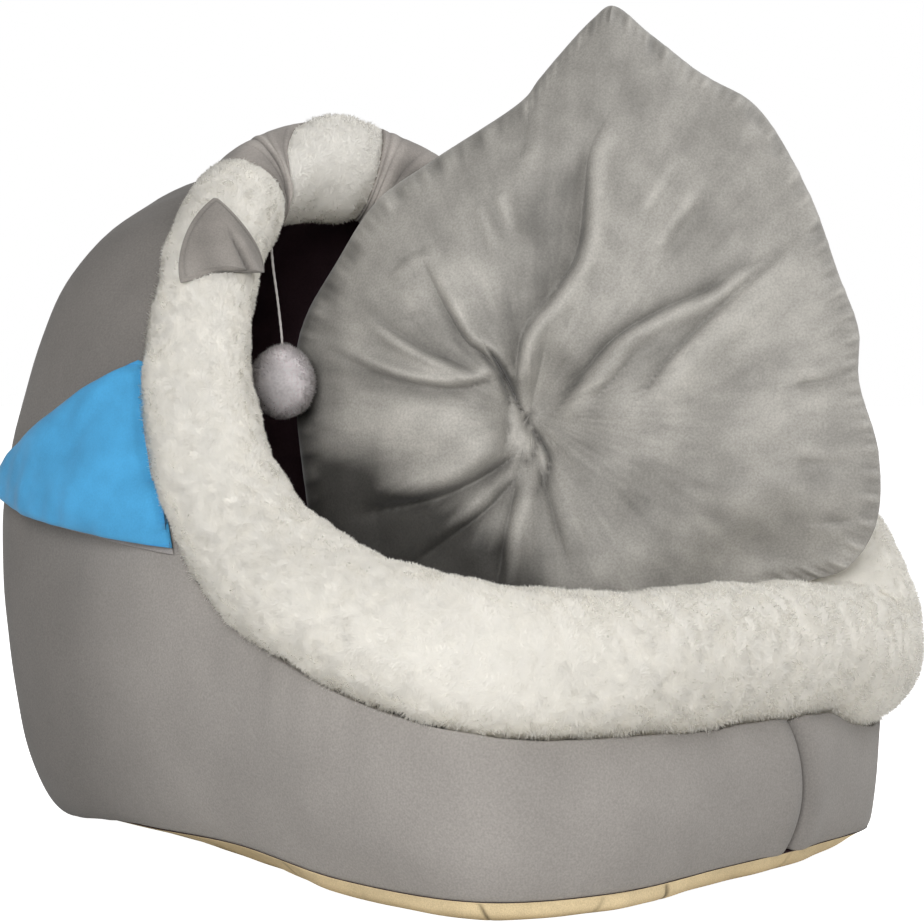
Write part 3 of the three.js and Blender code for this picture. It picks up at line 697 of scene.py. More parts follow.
def sole_piece():
    """The gathered pad under the bed, flat below, with the near-black lining, partly painted shade, on its
    top inside the walls.
    """
    w = np.linspace(0, 1, SOLE_COLUMNS, endpoint=False)
    foot = foot_curve(w)
    along = unit(foot_curve(w + SMALL_STEP) - foot_curve(w - SMALL_STEP))
    side = np.stack([along[:, 1], -along[:, 0], np.zeros_like(w)], -1)
    side *= np.sign(np.sum(side * foot, axis=1))[:, None]
    length = np.linalg.norm(np.roll(foot, -1, axis=0) - foot, axis=1).sum()
    height = foot[:, 2] - GAP
    random = np.random.default_rng(SOLE_SEED)
    count = SOLE_CREASES["count"]
    places = (np.arange(count) + random.uniform(-0.4, 0.4, count)) / count
    slants = random.uniform(*SOLE_CREASES["slants"], count)
    depths = random.uniform(*SOLE_CREASES["depths"], count) ** 2 * SOLE_CREASES["deepest"]
    (small, small_height), (broad, broad_height) = SOLE_BILLOWS
    billow = small_height * np.cos(2 * np.pi * small * w) + broad_height * np.sin(2 * np.pi * broad * w)
    drawn_in = recess_curve(w)[:, 0]
    under = (foot + side * (SOLE_UNDER - drawn_in)[:, None])[:, :2]
    plain = np.zeros(len(w))
    rings = [np.column_stack([under * (1 - inset), plain]) for inset in SOLE_INSETS[::-1]]
    crease_shade = [plain] * len(SOLE_INSETS)
    for z in np.linspace(0, 1, SOLE_ROWS):
        recess = np.clip(np.polyval(SOLE_RECESS_SHARE, z), 0, 1) * drawn_in
        full = math.sin(math.pi * min(1, 0.08 + z * 0.92)) ** 0.5
        away = (w[:, None] - places + 0.5) % 1 - 0.5
        away = away * length - slants * (z - 0.5)
        groove = -(depths * bell(away, SOLE_CREASES["width"])).sum(1) * full
        out = np.polyval(SOLE_OUT, z) - recess + billow * full + groove
        rings.append(np.column_stack([foot[:, :2], z * height]) + side * out[:, None])
        # painted shade in each crease, from its depth
        crease_shade.append(np.clip(groove * PAINTED_CREASE_SHADE, DARKEST_PAINTED_CREASE, 0))
    for inset in SOLE_INSETS:
        level = mix(height, SOLE_HEIGHT, min(1, inset / SOLE_LEVEL_INSET))
        rings.append(np.column_stack([foot[:, :2] * (1 - inset), level]))
        crease_shade.append(plain)
    points, faces = fan_closed(np.array(rings), (0, 0, 0), (0, 0, SOLE_HEIGHT))
    mesh = new_mesh("sole_pad_cloth", points, faces)
    point_values(mesh, "pleat_painted_light", np.concatenate([np.ravel(crease_shade), [0, 0]]))
    ring_number = faces.min(axis=1) // SOLE_COLUMNS
    use_second(mesh, ring_number >= len(SOLE_INSETS) + SOLE_ROWS - 1)
    return piece("sole_pad_cloth", mesh, [sole_cloth, lining_and_painted_shade], ["sole_pad"])


sole_piece()

# %% [markdown]
# The rim is a stuffed tube. Its backing is a smooth lumpy tube, and the pile that makes it plush is
# real mesh: short narrow triangles, half upright, that lean over in tufts, each its own way.
# Blender's own hair would look as good here, but it doesn't reach the exported meshes, and these do.
# Small nubs tilt the shading normals, which is what the eye reads as the softness of the pile.
# Where the walls meet the roll the pile is longer, so that it hangs over the seam.
# Two seams at the top of the arch run slantwise, which leaves the grey stripes there narrow inside
# the mouth and wide outside it.

# %% Lengths of the roll between its seams
PINCH_TURN = 2.88
PLUSH_INSET = 1.9
ROLL_COLUMNS = 72
SEAM_GAP = 1.1
SEAM_DIP = 0.12
SEAM_REACH = 12.0


def sewn(pinched, opened):
    """A seam round the roll: its place along the roll as a function of the turn round it.

    It lies at one place where the roll is pinched, at the other on the roll's opposite side, and
    follows a cosine of the turn between.
    """
    def place_at(turn):
        return mix(pinched, opened, (1 - np.cos(turn - PINCH_TURN)) / 2)

    return place_at


band_left = sewn(-83.0, -8.0)
band_right = sewn(15.0, 15.0)
plush_left = sewn(-88.0, -88.0)
plush_right = sewn(34.0, 64.0)
# the left leg's end again, reached the long way round the front
plush_far_end = sewn(-88.0 + roll_length, -88.0 + roll_length)


def share_and_turn(rows, columns):
    """A grid of the share of the way from one end to the other, and of the turn round."""
    share = np.linspace(0, 1, rows)[:, None]
    turn = np.linspace(0, 2 * np.pi, columns, endpoint=False)[None, :]
    return np.broadcast_arrays(share, turn)


def on_roll(start, end, share, turn, sink, slack=0.0):
    """Points on a length of roll, share of the way from its first seam to its second.

    sink is how far below the stuffed surface they lie, and slack how much thinner, as a share of
    the radius, the roll is there. It is drawn in towards each seam.
    """
    low, high = start(turn) + SEAM_GAP / 2, end(turn) - SEAM_GAP / 2
    place = mix(low, high, share)
    nearest = np.minimum(place - low, high - place)
    scale = 1 - mix(slack, SEAM_DIP, bell(nearest, SEAM_REACH))
    return roll_point(loop_at(place), turn, scale, -sink), place, nearest


def roll_normal(start, end, share, turn, sink, slack=0.0):
    """The outward normal of that surface, from short steps along it."""
    step = 1e-3
    ahead = on_roll(start, end, np.clip(share + step, 0, 1), turn, sink, slack)[0]
    behind = on_roll(start, end, np.clip(share - step, 0, 1), turn, sink, slack)[0]
    more = on_roll(start, end, share, turn + step, sink, slack)[0]
    less = on_roll(start, end, share, turn - step, sink, slack)[0]
    normal = unit(np.cross(ahead - behind, more - less))
    centre = edge_curve(loop_at(mix(start(turn), end(turn), share)))
    here = on_roll(start, end, share, turn, sink, slack)[0]
    return normal * np.sign(np.sum(normal * (here - centre), axis=-1, keepdims=True))


DENTS = [(0.7, 34, 21), (0.3, 14, 22), (0.15, 6, 23)]
FEWEST_ROWS = 10


def dented(start, end, share, turn):
    """The backing's points with soft dents, its normals, places and ways to the nearest seam."""
    points, place, nearest = on_roll(start, end, share, turn, PLUSH_INSET)
    normal = roll_normal(start, end, share, turn, PLUSH_INSET)
    return points + normal * layered(points, DENTS)[..., None], normal, place, nearest


def plush_backing(name, start, end, step, stands_for):
    """The stuffed tube under the pile, with soft dents."""
    rows = max(FEWEST_ROWS, int(float(end(0.0) - start(0.0)) / step))
    rings = dented(start, end, *share_and_turn(rows, ROLL_COLUMNS))[0]
    return piece(name, stuffed_mesh(name, rings), [rim_white], stands_for)


PILE_LENGTH = 3.2
PILE_WIDTH = 0.8
PILE_LEAN = 0.85
PILE_SPACING = 0.92
PILE_ROUND = 2 * np.pi * 33
# how the pile differs from place to place: layers of waves for its heading, lean and length
HEADING_WAVES = [(2.0, 14, 32)]
HEADING_STRAY = 0.9
LEAN_WAVES = [(0.3, 10, 33)]
LENGTH_WAVES = [(0.12, 11, 34)]
NUB_SIZE = 7.0
NUB_TILT = 0.13
NUB_SEEDS = (91, 92, 93)
NUB_STRAY = 0.05
PILE_PARTS = 4
FRINGE = 1.1
FRINGE_REACH = 0.17


def blades(roots, normals, lays, lengths, width, seed):
    """Short pile as narrow triangles: each runs from its root the way it lies, one point at its tip.

    Returns points, triangles and a soft normal for each point, near the surface's own.
    """
    random = np.random.default_rng(seed)
    count = len(roots)
    side = unit(np.cross(lays, normals)) * (width / 2)
    side = side * random.uniform(0.8, 1.3, (count, 1))
    tip = roots + lays * lengths[:, None]
    points = np.stack([roots - side, roots + side, tip], 1)
    faces = np.arange(count * 3).reshape(-1, 3)
    nubs = np.stack([uneven(roots, NUB_SIZE, nub_seed) for nub_seed in NUB_SEEDS], -1)
    soft = unit(normals + NUB_TILT * nubs + random.normal(0, NUB_STRAY, (count, 3)))
    return points.reshape(-1, 3), faces, np.repeat(soft, 3, axis=0)


def soft_mesh(name, points, faces, normals):
    """A mesh whose shading follows given soft normals in place of its own flat ones."""
    mesh = new_mesh(name, points, faces)
    mesh.normals_split_custom_set_from_vertices(normals.astype(float).tolist())
    return mesh


def plush_pile(name, start, end, part, seed):
    """Pile on part of a length of roll: blades about a spacing apart that lie over in tufts."""
    random = np.random.default_rng(seed)
    first, last = part
    rows = int(float(end(0.0) - start(0.0)) * (last - first) / PILE_SPACING)
    columns = int(PILE_ROUND / PILE_SPACING)
    share = (np.arange(rows)[:, None] + random.uniform(0, 1, (rows, columns))) / rows
    share = mix(first, last, share.ravel())
    turn = (np.arange(columns)[None, :] + random.uniform(0, 1, (rows, columns))) / columns * 2 * np.pi
    turn = turn.ravel()
    roots, normals, place, nearest = dented(start, end, share, turn)
    along = roll_frame(loop_at(place))[1]
    around = np.cross(normals, along)
    heading = layered(roots, HEADING_WAVES) + random.normal(0, HEADING_STRAY, len(roots))
    flat = along * np.cos(heading)[:, None] + around * np.sin(heading)[:, None]
    upright = PILE_LEAN * (1 + layered(roots, LEAN_WAVES)) * random.uniform(0.7, 1.3, len(roots))
    lays = unit(flat + normals * upright[:, None])
    lengths = PILE_LENGTH * (1 + layered(roots, LENGTH_WAVES)) * random.uniform(0.75, 1.1, len(roots))
    lengths *= 0.5 + 0.5 * smoothstep(nearest, 0, 5)
    off_wall = (turn - wall_turn(loop_at(place)) + np.pi) % (2 * np.pi) - np.pi
    lengths *= 1 + FRINGE * bell(off_wall, FRINGE_REACH)
    points, faces, soft = blades(roots, normals, lays, lengths, PILE_WIDTH, seed + 1)
    return piece(name, soft_mesh(name, points, faces, soft), [rim_white])


plush_backing("rim_plush_backing", plush_right, plush_far_end, 4.0, ["rim_plush"])
plush_backing("rim_band_backing", band_left, band_right, 3.0, ["rim_band"])
for k in range(PILE_PARTS):
    part = (k / PILE_PARTS, (k + 1) / PILE_PARTS)
    plush_pile(f"rim_pile_{k + 1}", plush_right, plush_far_end, part, 40 + k)
plush_pile("rim_band_pile", band_left, band_right, (0, 1), 50)

# %% [markdown]
# The grey stripes beside the white band are plain velour, drawn together on the mouth's side.
# A crease is a line at a fixed share of the way from one seam to the other, so the creases fan out
# from the pinch by themselves, and each dies away at its own distance from it.

# %% Grey stripes
STRIPE_SLACK = 0.1
STRIPE_SINK = 0.3
STRIPE_ROWS = 84
STRIPE_COLUMNS = 240
STRIPE_LUMPS = [(0.5, 30, 55)]
# the bank beside a crease: its share of the crease's depth, how far beside it lies, its width
CREASE_BANK = {"share": 0.7, "aside": 3.0, "width": 2.4}


def stripe_piece(name, start, end, creases, stands_for):
    """A velour length of roll. A crease is a share of its width, a depth and how far it runs."""
    share, turn = share_and_turn(STRIPE_ROWS, STRIPE_COLUMNS)
    points, _, nearest = on_roll(start, end, share, turn, STRIPE_SINK, STRIPE_SLACK)
    normal = roll_normal(start, end, share, turn, STRIPE_SINK, STRIPE_SLACK)
    wide = end(turn) - start(turn)
    from_pinch = np.abs((turn - PINCH_TURN + np.pi) % (2 * np.pi) - np.pi)
    relief = np.zeros(share.shape)
    for middle, depth, run in creases:
        aside = (share - middle) * wide
        strength = bell(from_pinch, run) * smoothstep(wide * min(middle, 1 - middle), 0.5, 3)
        bank = bell(aside - CREASE_BANK["aside"], CREASE_BANK["width"])
        relief += strength * depth * (CREASE_BANK["share"] * bank - np.exp(-np.abs(aside)))
    relief = relief * smoothstep(nearest, 0, 2) + layered(points, STRIPE_LUMPS)
    rings = points + normal * relief[..., None]
    # the relief also colours the velour: painted highlight on banks and lumps, painted shade in creases
    mesh = stuffed_mesh(name, rings, np.clip(relief, -1, 1))
    return piece(name, mesh, [stripe_velour], stands_for)


stripe_piece("rim_stripe_left_cloth", plush_left, band_left,
             [(0.26, 1.2, 1.5), (0.44, 2.6, 2.2), (0.58, 2.0, 1.4), (0.86, 0.9, 1.5)],
             ["rim_stripe_left"])
stripe_piece("rim_stripe_right_cloth", band_right, plush_right,
             [(0.1, 1.2, 2.4), (0.3, 0.9, 1.6), (0.75, 0.8, 1.6)], ["rim_stripe_right"])

# %% [markdown]
# Ears and flaps are stuffed tongues: a stack of flattened rings from the sewn root to the tip.
# The ear is a leaf of suede sewn across the roll with a hem, and one fold drawn through it. The flap
# is a plump blue leaf on a thin grey backing that shows as a narrow edge.


# %% Tongue helper
ROUNDED = 0.8


def tongue(rows, sides, half_width, half_thick, place, first=0.0, ease=1.0):
    """Rings of a flattened oval. place(share, across, off, turn) gives points; off runs from 0 up.

    The rings start at a share of the length and crowd together towards the tip by ease.
    """
    share, turn = share_and_turn(rows, sides)
    share = 1 - (1 - first) * (1 - share) ** ease
    flat = np.sign(np.cos(turn)) * np.abs(np.cos(turn)) ** ROUNDED
    across = half_width(share) * flat
    off = half_thick(share) * (1 + np.sign(np.sin(turn)) * np.abs(np.sin(turn)) ** ROUNDED)
    return place(share, across, off, turn), share, across


# %% Ears
EAR = {"place": 173.5, "turn": 1.82, "width": 46.0, "height": 33.0, "thick": 3.6, "lift": 6.0,
       "clear": 1.1, "lean": 0.6, "taper": 1.5, "belly": 0.35}
EAR_TIP = {"width": 3.0, "thick": 2.4}
EAR_SEWN = {"slant": 0.6, "wave": 2.0, "reach": 9.0}
EAR_HEM = {"inside": 3.0, "depth": 0.6, "width": 0.6}
EAR_FOLD = {"foot": 9.0, "slope": 11.0, "depth": 2.4, "width": 1.3, "bank": 1.6, "aside": 3.5,
            "reach": 4.0, "ends": (0.35, 0.7)}
EAR_RIPPLE = {"height": 0.5, "reach": 3.2}
EAR_PAINTED_SHADE = {"share": 0.5, "across": (2, 12)}
EAR_ROWS = 70
TONGUE_SIDES = 128


def ear_piece(name, sign, stands_for):
    """An ear on the roll; sign -1 is the left one. One fold runs up it from its sewn root."""
    radius = float(radius_curve(loop_at(-EAR["place"]))[..., 0])

    def half_width(share):
        leaf = (1 - share ** EAR["taper"]) * (1 + EAR["belly"] * share)
        return (EAR["width"] * leaf + EAR_TIP["width"]) / 2

    def half_thick(share):
        return mix(EAR["thick"], EAR_TIP["thick"], share) / 2

    def relief(share, across):
        beside = across - EAR_FOLD["foot"] + EAR_FOLD["slope"] * share
        fold = EAR_FOLD["bank"] * bell(beside - EAR_FOLD["aside"], EAR_FOLD["reach"])
        fold = fold - EAR_FOLD["depth"] * np.exp(-np.abs(beside) / EAR_FOLD["width"])
        from_hem = half_width(share) - np.abs(across) - EAR_HEM["inside"]
        ripple = EAR_RIPPLE["height"] * np.cos(across / EAR_RIPPLE["reach"]) * (1 - share)
        hem = EAR_HEM["depth"] * bell(from_hem, EAR_HEM["width"])
        return fold * (1 - smoothstep(share, *EAR_FOLD["ends"])) - hem + ripple

    def place(share, across, off, turn):
        wave = EAR_SEWN["wave"] * np.sin(across / EAR_SEWN["reach"])
        slant = (EAR_SEWN["slant"] * across - wave) * (1 - share)
        around = EAR["turn"] + across / radius - EAR["lean"] * share
        along = EAR["height"] * share + slant - EAR["place"]
        rough = relief(share, across) * smoothstep(np.sin(turn), 0.0, 0.4)
        height = EAR["clear"] + EAR["lift"] * share**2 + np.maximum(off + rough, 0)
        return roll_point(loop_at(sign * -along), around, 1.0, height)

    rings, share, across = tongue(EAR_ROWS, TONGUE_SIDES, half_width, half_thick, place)
    # painted highlight on the fold's bank and painted shade in its valley and hem, with painted shade over
    # one side
    painted_side_shade = EAR_PAINTED_SHADE["share"] * smoothstep(across, *EAR_PAINTED_SHADE["across"])
    mesh = stuffed_mesh(name, rings, np.clip(relief(share, across), -1, 1) - painted_side_shade)
    return piece(name, mesh, [ear_suede], stands_for)


ear_piece("ear_left_suede", -1, ["ear_left"])
ear_piece("ear_right_suede", 1, ["ear_right"])

# %% Side flaps
FLAP_THICK = 19.0
FLAP_CLEAR = 0.9
FLAP_LIFT = 7.0
FLAP_TAPER = 0.78
FLAP_ROUND_TIP = 8
FLAP_EDGE = 0.03
FLAP_LUMPS = [(1.0, 38, 61), (0.35, 15, 62)]
# the tucks along its sewn root: their depth, how many there are and how soon they fade
FLAP_TUCKS = {"depth": 2.4, "beat": 7, "reach": 0.05}
FLAP_ROWS = 90
FLAP_FIRST = -0.03
FLAP_EASE = 1.6
FLAP_LEFT = {"start": 0.32, "foot": (25.5, 183), "top": (68.5, 280), "tip": (169, 211)}
FLAP_RIGHT = {"start": 0.68, "foot": (20, 183), "top": (57, 276), "tip": (169, 211)}
BACKING = 1.4
BACKING_DROP = 1.6
BACKING_WIDER = 0.03
NEWTON_ROUNDS = 8
START_UP = 0.7


def on_wall(start, y, z):
    """The wall's place with a given y and z, by a few Newton steps from a loop place near it."""
    t = np.full_like(y, start)
    v = np.full_like(y, START_UP)
    step = 1e-3
    for _ in range(NEWTON_ROUNDS):
        here = wall_point(t, v)
        by_t = (wall_point(t + step, v) - here) / step
        by_v = (wall_point(t, v + step) - here) / step
        scale = by_t[..., 1] * by_v[..., 2] - by_t[..., 2] * by_v[..., 1]
        dy, dz = y - here[..., 1], z - here[..., 2]
        t = t + (dy * by_v[..., 2] - dz * by_v[..., 1]) / scale
        v = v + (dz * by_t[..., 1] - dy * by_t[..., 2]) / scale
    return t, v


def flap_piece(name, outline, front, stands_for):
    """One layer of a side flap: the plump blue front, or the thin backing that shows below it."""
    foot, top, tip = (np.array(outline[k], float) for k in ("foot", "top", "tip"))
    middle, half = (foot + top) / 2, (top - foot) / 2
    wider = FLAP_EDGE + (0.0 if front else BACKING_WIDER)
    lower = 0.0 if front else BACKING_DROP

    def half_width(share):
        return (1 - FLAP_TAPER * share) * np.sqrt(1 - np.minimum(share, 1) ** FLAP_ROUND_TIP) + wider

    def half_thick(share):
        plump = 0.25 + 0.75 * np.sin(np.pi * np.minimum(1, 0.1 + share * 0.85))
        return (FLAP_THICK - BACKING) / 2 * plump if front else np.full_like(share, BACKING / 2)

    def place(share, across, off, turn):
        y = mix(middle[0], tip[0], share) + across * half[0] * (1 - share)
        z = mix(middle[1], tip[1], share) + across * half[1] - lower
        t, v = on_wall(outline["start"], y, z)
        base = FLAP_CLEAR + FLAP_LIFT * share**2
        if front:
            tuck = np.exp(-share / FLAP_TUCKS["reach"]) * np.abs(np.sin(across * FLAP_TUCKS["beat"]))
            lumps = layered(np.stack([y * 0, y, z], -1), FLAP_LUMPS) - FLAP_TUCKS["depth"] * tuck
            base = base + BACKING
            off = off + lumps * (np.sin(turn) > 0)
        height = base + np.maximum(off, 0)
        return wall_point(t, v) + wall_normal(t, v) * height[..., None]

    rings = tongue(FLAP_ROWS, TONGUE_SIDES, half_width, half_thick, place, FLAP_FIRST, FLAP_EASE)[0]
    material = flap_blue if front else flap_backing
    return piece(name, stuffed_mesh(name, rings), [material], stands_for)


for side, outline in (("left", FLAP_LEFT), ("right", FLAP_RIGHT)):
    flap_piece(f"flap_{side}_front", outline, True, [f"flap_{side}"])
    flap_piece(f"flap_{side}_backing", outline, False, [])

# %% [markdown]
# The cushion stands on its edge and fills the mouth. Its face is drawn to a tuck, and the cloth
# runs from there in folds. Each fold is a smooth path over the face, in millimetres across and
# up, with a narrow valley along it and a round bank on one side. Puckers round the sewn edge are
# waves that fade a few millimetres from it. The height of the folds also goes into the nap value
# as painted highlight on their banks and painted shade in their valleys.

# %% The cushion's outline and folds
CUSHION_TUCK = np.array([53.0, 253.0])
CUSHION_OUTLINE = [
    (102.5, 497), (126, 479.5), (156, 456), (187.5, 436.5), (217, 385), (234, 334), (244, 302.5),
    (244, 273), (254, 231), (252, 189), (236, 163.5), (208, 152), (187, 131), (182, 75), (150, 26),
    (70, 10.4), (0, 25),
    (-58, 70), (-80, 190), (-87, 296), (-62, 346), (-38, 381), (-7, 403), (50, 441), (59, 453),
    (91, 489),
]
# path of a fold, then the depth of its valley, the valley's width on the bank's side and on the
# other, the height and width of the bank, and the side that the bank is on
FOLDS = [
    ([(27, 292), (33, 284), (42, 268), (49, 252), (60, 236), (64, 226), (60, 214), (50, 198)],
     10.0, 1.3, 2.2, 3.0, 5.0, -1),
    ([(36, 278), (40, 262), (40, 244), (36, 226)], 7.0, 1.6, 1.8, 3.0, 6.0, 1),
    ([(58, 240), (54, 228), (44, 222)], 5.0, 1.5, 2.0, 2.0, 4.0, 1),
    ([(44, 228.5), (22, 215), (-2, 204), (-31, 197), (-63, 189)], 11.0, 4.0, 4.0, 6.0, 9.0, -1),
    ([(46, 217), (27, 198), (5, 181), (-14, 166), (-34, 148)], 6.0, 3.0, 4.0, 3.5, 6.0, -1),
    ([(44, 212), (38, 186), (34, 161), (28, 140)], 4.5, 2.5, 4.0, 3.5, 6.0, 1),
    ([(56, 229), (63, 205), (68.5, 183), (76, 159)], 4.5, 3.0, 3.5, 2.5, 7.0, 1),
    ([(35, 278), (25, 288), (15, 295.5), (6, 310), (-2, 325), (-14, 352)], 5.5, 1.4, 5.0, 4.5, 4.5, -1),
    ([(33, 274), (10, 268), (-19, 271), (-47, 281), (-80, 300)], 5.5, 3.0, 5.0, 6.0, 4.5, -1),
    ([(22, 277), (8, 284), (-11, 292), (-34, 307), (-50, 320)], 4.0, 1.8, 4.0, 4.0, 4.0, 1),
    ([(-9, 312), (-20, 309.5), (-30, 307)], 1.6, 1.0, 1.5, 0.5, 3.0, 1),
    ([(-8, 350), (-20, 345), (-34, 332)], 2.4, 2.0, 3.0, 2.4, 4.0, 1),
    ([(44, 268), (45, 288), (50, 304), (70, 330), (80, 350), (84, 381), (87, 406), (98, 428),
      (108, 445)], 8.0, 1.8, 9.0, 5.0, 6.0, -1),
    ([(66, 252), (83, 277), (103, 299), (129, 314), (156, 326), (174, 339), (197, 347), (216, 366)],
     6.0, 1.6, 5.0, 4.0, 5.0, -1),
    ([(116, 264), (131, 284), (151, 304.5), (173, 324), (191, 340), (220, 367), (240, 386), (262, 406)],
     6.0, 1.3, 5.0, 5.0, 9.0, -1),
    ([(90, 262), (108, 282), (118, 296)], 2.0, 2.0, 3.0, 2.0, 4.0, 1),
    ([(53, 438), (51, 422), (48, 408), (40, 392)], 3.5, 2.5, 5.0, 3.0, 5.0, 1),
    ([(16, 374), (24, 356), (30, 338)], 1.4, 3.0, 5.0, 3.4, 5.0, 1),
    ([(28, 380), (34, 366), (38, 350)], 1.2, 3.0, 4.0, 3.0, 5.0, 1),
    ([(130, 345), (142, 364), (160, 384)], 2.0, 3.0, 6.0, 3.4, 5.0, 1),
    ([(122, 368), (138, 392), (150, 404)], 1.4, 3.0, 6.0, 2.6, 5.0, 1),
    ([(206, 270), (224, 273), (240, 279), (258, 288)], 8.0, 1.6, 3.0, 5.0, 5.0, 1),
    ([(222, 296), (236, 304), (252, 314)], 5.0, 1.6, 3.0, 3.0, 4.0, 1),
    ([(222, 190), (240, 193), (256, 202), (276, 216)], 8.0, 1.6, 3.0, 5.0, 5.0, -1),
    ([(206, 226), (228, 226), (250, 232)], 4.0, 2.0, 4.0, 3.0, 6.0, 1),
    ([(190, 158), (214, 158), (238, 168), (256, 180)], 5.0, 2.0, 3.0, 3.0, 4.0, 1),
]
# broad swells and hollows of its face: middle, half width and half height, and how far they stand out
SWELLS = [
    ((-2, 244), (40, 18), 7.0),
    ((-62, 165), (60, 42), -22.0),
    ((20, 120), (70, 40), -9.0),
    ((212, 300), (42, 52), 4.0),
    ((122, 325), (30, 42), 3.0),
    ((60, 375), (20, 50), -3.0),
]
cushion_outline = closed_curve(np.array(CUSHION_OUTLINE, float))


# its left side curls back and its right side forward, by these shares of the square of the way
# beyond these lines; its middle leans back as it rises
CURL_BACK = (50.0, 0.0018)
CURL_FORWARD = (150.0, 0.003)
CUSHION_BACK = -32.0
CUSHION_LEAN = 0.1


def cushion_point(across, up, off):
    """A point of the cushion, off being towards the camera.

    Its left side curls back into the hood, and its right side hangs forward over the roll.
    """
    left, left_curl = CURL_BACK
    right, right_curl = CURL_FORWARD
    curl = left_curl * np.maximum(0, left - across) ** 2 - right_curl * np.maximum(0, across - right) ** 2
    back = CUSHION_BACK + CUSHION_LEAN * up + curl - off
    half = math.sqrt(0.5)
    return np.stack([half * (across + back), half * (back - across), up + 0 * across], -1)


def smooth_path(points, steps=14):
    """Points of a smooth curve through a few points, straight on past its ends."""
    points = np.array(points, float)
    ends = np.vstack([2 * points[0] - points[1], points, 2 * points[-1] - points[-2]])
    w = np.linspace(0, 1, steps, endpoint=False)[:, None]
    parts = []
    for p0, p1, p2, p3 in zip(ends, ends[1:], ends[2:], ends[3:]):
        parts.append(
            0.5 * (2 * p1 + (p2 - p0) * w + (2 * p0 - 5 * p1 + 4 * p2 - p3) * w**2
                   + (3 * p1 - p0 - 3 * p2 + p3) * w**3)
        )
    return np.vstack([*parts, points[-1:]])


FOLD_STARTS = (-0.05, 0.10)
FOLD_ENDS = (0.55, 1.0)
BANK_ASIDE = 1.2


def fold_height(spots, path, depth, near, far, bank, reach, side):
    """Height of one fold at each spot: a valley along its path and a round bank beside it."""
    line = smooth_path(path)
    start, way = line[:-1], np.diff(line, axis=0)
    steps = np.linalg.norm(way, axis=1)
    reached = np.concatenate([[0], np.cumsum(steps)])
    best = np.full(len(spots), np.inf)
    signed = np.zeros(len(spots))
    gone = np.zeros(len(spots))
    for k in range(len(start)):
        rel = spots - start[k]
        part = np.clip(rel @ way[k] / steps[k] ** 2, 0, 1)
        beside = rel - part[:, None] * way[k]
        away = np.linalg.norm(beside, axis=1)
        nearer = away < best
        best[nearer] = away[nearer]
        turn = np.sign(way[k][0] * rel[:, 1] - way[k][1] * rel[:, 0])
        signed[nearer] = (away * turn * side)[nearer]
        gone[nearer] = (reached[k] + part * steps[k])[nearer]
    share = gone / reached[-1]
    fade = smoothstep(share, *FOLD_STARTS) * (1 - smoothstep(share, *FOLD_ENDS))
    valley = -depth * np.exp(-best / np.where(signed > 0, near, far))
    return fade * (valley + bank * bell(signed - BANK_ASIDE * reach, reach))


# %% The cushion's nap streaks and painted light
# streaks: a circle about the tuck on which their width is measured, how much longer than wide they
# are, how far from the tuck they start, then strength, width and seed of each kind
STREAK_RING = 100.0
STREAK_STRETCH = 7.0
STREAK_START = (4, 30)
STREAKS = [(0.16, 30, 75), (0.11, 9, 76), (0.08, 4, 77)]
# a line over the face, below which painted shade darkens the nap, where the cushion sinks into the mouth
LOW_LINE = {"across": -70.0, "up": 257.0, "slope": 0.5, "turns": (0, 42), "ends": (-10, 95)}
# how dark the painted shade is below that line and at the left edge inside the hood, and how fold height
# turns into painted highlight and shade
PAINTED_LOW_SHADE = 1.9
PAINTED_HOOD_SHADE_SHARE = 0.7
HOOD_LEFT = (52, 88)
PAINTED_HIGHLIGHT_HEIGHT = 4.5
DARKEST_PAINTED_VALLEY = -0.95


def streaks_and_painted_light(spots, relief):
    """The nap value: streaks of the crushed pile that run out of the tuck, with painted highlight on
    banks and painted shade in valleys.

    A streak keeps its share of a turn about the tuck as it runs out, so streaks widen with the
    distance. Painted shade also darkens it low on the left, where the cushion sinks into the mouth,
    and at its left edge inside the hood.
    """
    from_tuck = spots - CUSHION_TUCK
    out = np.linalg.norm(from_tuck, axis=-1, keepdims=True)
    ray = STREAK_RING * from_tuck / np.maximum(out, 1.0)
    streaks = layered(np.concatenate([ray, out / STREAK_STRETCH], -1), STREAKS)
    across, up = spots[..., 0], spots[..., 1]
    below = LOW_LINE["up"] - up - LOW_LINE["slope"] * (across - LOW_LINE["across"])
    low = smoothstep(below, *LOW_LINE["turns"]) * (1 - smoothstep(across, *LOW_LINE["ends"]))
    low = np.maximum(low, PAINTED_HOOD_SHADE_SHARE * smoothstep(-across, *HOOD_LEFT))
    fold_light = np.clip(relief / PAINTED_HIGHLIGHT_HEIGHT, DARKEST_PAINTED_VALLEY, 1)
    streaks = streaks * smoothstep(out[..., 0], *STREAK_START)
    return np.clip(fold_light + streaks - PAINTED_LOW_SHADE * low, -2, 1)


# %% Cushion
# half its thickness in the middle, how it falls off towards the edge, and its dimple at the tuck
CUSHION_HALF = 43.0
CUSHION_FALL = 2.4
DIMPLE = {"depth": 0.72, "reach": 0.16}
# where the roll grips it, how much thinner it is, and between which places
CUSHION_SQUEEZE = 0.75
GRIP_ACROSS = (120, 200)
GRIP_BELOW = (165, 215)
THINNEST = 0.8
CUSHION_LUMPS = [(1.3, 62, 71), (0.6, 27, 72)]
SIDE_APART = 40.0
# puckers beside the sewn edge: height, wavelength, seed, how far inside the edge and their reach
EDGE_PUCKERS = {"height": 2.2, "length": 9, "seed": 73, "inside": 5.0, "reach": 6.0}
CUSHION_COLUMNS = 704
FRONT_RINGS = 104
BACK_RINGS = 36


def face_relief(flat):
    """The folds and broad swells of the cushion's front at each spot."""
    heights = sum(fold_height(flat, *fold) for fold in FOLDS)
    for (middle_across, middle_up), (wide, high), out in SWELLS:
        beside = (flat[:, 0] - middle_across) / wide
        above = (flat[:, 1] - middle_up) / high
        heights = heights + out * np.exp(-(beside**2) - above**2)
    return heights


